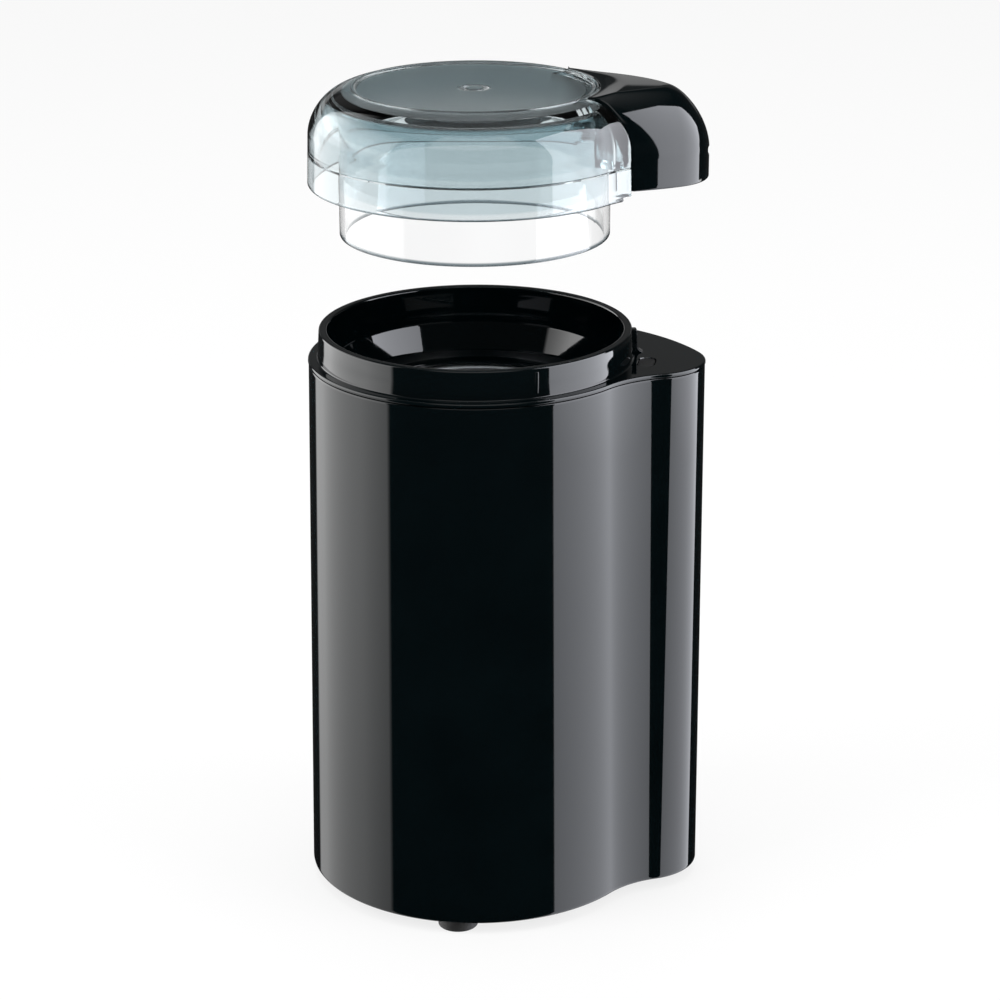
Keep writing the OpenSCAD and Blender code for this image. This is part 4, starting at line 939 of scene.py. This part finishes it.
# Floor: pale, mostly lit by itself so that it reads white and keeps a soft shadow
floor_mesh = bpy.data.meshes.new("floor")
floor_mesh.from_pydata([(-6, -6, 0), (6, -6, 0), (6, 6, 0), (-6, 6, 0)], [], [(0, 1, 2, 3)])
floor = bpy.data.objects.new("floor", floor_mesh)
scene.collection.objects.link(floor)
floor.visible_glossy = False
pale = bpy.data.materials.new("pale_floor")
pale.use_nodes = True
nodes, joins = pale.node_tree.nodes, pale.node_tree.links
nodes.clear()
shade = nodes.new("ShaderNodeBsdfDiffuse")
shade.inputs["Color"].default_value = (0.9, 0.9, 0.9, 1)
glow = nodes.new("ShaderNodeEmission")
path = nodes.new("ShaderNodeLightPath")
self_lit = 0.8
share = calc(nodes, joins, "MULTIPLY_ADD", path.outputs["Is Camera Ray"], self_lit,
             path.outputs["Is Transmission Ray"])
blend = nodes.new("ShaderNodeMixShader")
joins.new(share, blend.inputs["Fac"])
joins.new(shade.outputs["BSDF"], blend.inputs[1])
joins.new(glow.outputs["Emission"], blend.inputs[2])
joins.new(blend.outputs["Shader"], nodes.new("ShaderNodeOutputMaterial").inputs["Surface"])
floor_mesh.materials.append(pale)

# Studio round the object: two tall panels and a dark front, as the gloss shows them
CURVE_TOP = 5.0


def curve(nodes, joins, value, low, high, stops):
    """Brightness by a value from low to high, in straight steps between the stops."""
    reach = nodes.new("ShaderNodeMapRange")
    reach.inputs["From Min"].default_value = low
    reach.inputs["From Max"].default_value = high
    joins.new(value, reach.inputs["Value"])
    greys = [((at - low) / (high - low), (bright / CURVE_TOP,) * 3) for at, bright in stops]
    return calc(nodes, joins, "MULTIPLY", ramp(nodes, joins, reach.outputs["Result"], greys), CURVE_TOP)


world = bpy.data.worlds.new("studio")
scene.world = world
world.use_nodes = True
nodes, joins = world.node_tree.nodes, world.node_tree.links
nodes.clear()
sums = partial(calc, nodes, joins)
heading = nodes.new("ShaderNodeTexCoord").outputs["Generated"]


def facing(direction):
    node = nodes.new("ShaderNodeVectorMath")
    node.operation = "DOT_PRODUCT"
    node.inputs[1].default_value = direction
    joins.new(heading, node.inputs[0])
    return node.outputs["Value"]


def choose(test, yes, no):
    return sums("ADD", sums("MULTIPLY", test, yes), sums("MULTIPLY", sums("SUBTRACT", 1.0, test), no))


# Directions in degrees, turn from the camera's side round to the right and rise from the floor up
to_camera = math.radians(5.1)
front = facing((math.sin(to_camera), -math.cos(to_camera), 0))
across = facing((math.cos(to_camera), math.sin(to_camera), 0))
height = facing((0, 0, 1))
turn = sums("MULTIPLY", sums("ARCTAN2", across, front), 180 / math.pi)
rise = sums("MULTIPLY", sums("ARCSINE", height), 180 / math.pi)
by_turn = partial(curve, nodes, joins, turn, -180, 180)
by_side = partial(curve, nodes, joins, sums("ABSOLUTE", turn), 0, 180)
by_rise = partial(curve, nodes, joins, rise, -90, 90)

# Panels left and right; above the floor the near card takes the right one's place
panels = by_turn([
    (-145, 0.02), (-143, 1.3), (-130, 1.9), (-85, 1.9), (-63, 1.3), (-61, 0.02),
    (54.5, 0.02), (55.5, 2.7), (72, 3.2), (85, 3.5), (98, 3.9), (116, 4.4), (118, 0.02)])
panels = sums("MULTIPLY", panels, by_rise([
    (-30, 0.85), (-24, 1.0), (-20, 1.25), (-17, 1.42), (-10, 2.0), (0, 2.0), (4, 2.8), (14, 2.8),
    (18, 1.7), (30, 1.7), (50, 0.0)]))
beside = sums("MULTIPLY", by_turn([(54, 0.0), (55, 1.0)]), by_rise([(-16, 0.0), (-14.5, 1.0)]))
behind_card = 0.04
panels = choose(beside, behind_card, panels)

# Dim ceiling, a brighter patch of it in front, and the lit wall low behind
overhead = by_rise([(50, 0.0), (75, 0.5)])
patch = sums("MULTIPLY", by_side([(34, 1.2), (42, 0.0)]), by_rise([
    (36, 0.0), (40, 1.0), (65, 1.0), (69, 0.0)]))
low_back = sums("MULTIPLY", by_side([(146, 0.0), (154, 1.0)]), by_rise([
    (1.5, 0.0), (3, 0.4), (9.4, 0.4), (10.4, 0.0), (13.5, 0.0), (16, 0.1), (34, 0.1), (40, 0.0)]))
gloss = sums("ADD", sums("ADD", panels, low_back), sums("ADD", overhead, patch))

# White to the camera, the panels in the gloss, and a wall that fades upward through the clear lid
through = by_rise([(-90, 1.0), (8, 1.0), (30, 0.25), (60, 0.1)])
path = nodes.new("ShaderNodeLightPath")
mirrored = sums("MINIMUM", path.outputs["Glossy Depth"], 1.0)
room_light = 0.75
strength = choose(path.outputs["Is Transmission Ray"], through, room_light)
strength = choose(mirrored, gloss, strength)
strength = choose(path.outputs["Is Camera Ray"], 1.0, strength)
background = nodes.new("ShaderNodeBackground")
joins.new(strength, background.inputs["Strength"])
joins.new(background.outputs["Background"], nodes.new("ShaderNodeOutputWorld").inputs["Surface"])

# White card close by on the right, which only the gloss shows
card_mesh = bpy.data.meshes.new("card")
card_x = 0.203
card_edge = [(-0.148, -0.3), (0.096, -0.3), (0.096, 0.11), (0.05, 0.15), (0.05, 0.2), (0.088, 0.25),
             (0.08, 0.285), (0.05, 0.345), (-0.01, 0.42), (-0.148, 0.46)]
card_mesh.from_pydata([(card_x, y, z) for y, z in card_edge], [], [tuple(range(len(card_edge)))])
card = bpy.data.objects.new("card", card_mesh)
scene.collection.objects.link(card)
card.visible_camera = card.visible_diffuse = card.visible_transmission = False
card.visible_volume_scatter = card.visible_shadow = False
lit = bpy.data.materials.new("card_light")
lit.use_nodes = True
nodes, joins = lit.node_tree.nodes, lit.node_tree.links
nodes.clear()
split = nodes.new("ShaderNodeSeparateXYZ")
joins.new(nodes.new("ShaderNodeTexCoord").outputs["Object"], split.inputs["Vector"])
along = curve(nodes, joins, split.outputs["Y"], -0.15, 0.1, [
    (-0.15, 2.7), (-0.06, 3.2), (0.0, 3.5), (0.05, 3.9), (0.1, 4.4)])
upward = curve(nodes, joins, split.outputs["Z"], -0.3, 0.3, [
    (-0.052, 0.9), (0.017, 1.0), (0.068, 1.12), (0.112, 1.6), (0.2, 1.8)])
glow = nodes.new("ShaderNodeEmission")
glow.inputs["Color"].default_value = (0.87, 0.89, 0.955, 1)
joins.new(calc(nodes, joins, "MULTIPLY", along, upward), glow.inputs["Strength"])
joins.new(glow.outputs["Emission"], nodes.new("ShaderNodeOutputMaterial").inputs["Surface"])
card_mesh.materials.append(lit)


# Soft lamps
def softbox(name, at, size, watts):
    lamp = bpy.data.lights.new(name, "AREA")
    lamp.shape = "RECTANGLE"
    lamp.size, lamp.size_y = size
    lamp.energy = watts
    obj = bpy.data.objects.new(name, lamp)
    obj.location = at
    obj.rotation_mode = "QUATERNION"
    obj.rotation_quaternion = (Vector((AXIS_X / 1000, 0, 0.1)) - Vector(at)).to_track_quat("-Z", "Y")
    obj.visible_camera = False
    obj.visible_glossy = False
    obj.visible_transmission = False
    scene.collection.objects.link(obj)


softbox("key_lamp", (-0.9, -0.5, 0.9), (0.7, 0.9), 7)
softbox("fill_lamp", (1.0, -0.3, 0.7), (0.7, 0.9), 5)
softbox("top_lamp", (0.0, 0.1, 1.3), (0.8, 0.8), 6)

scene.cycles.max_bounces = 24
scene.cycles.transmission_bounces = 20
scene.cycles.glossy_bounces = 8
scene.view_settings.view_transform = "Standard"
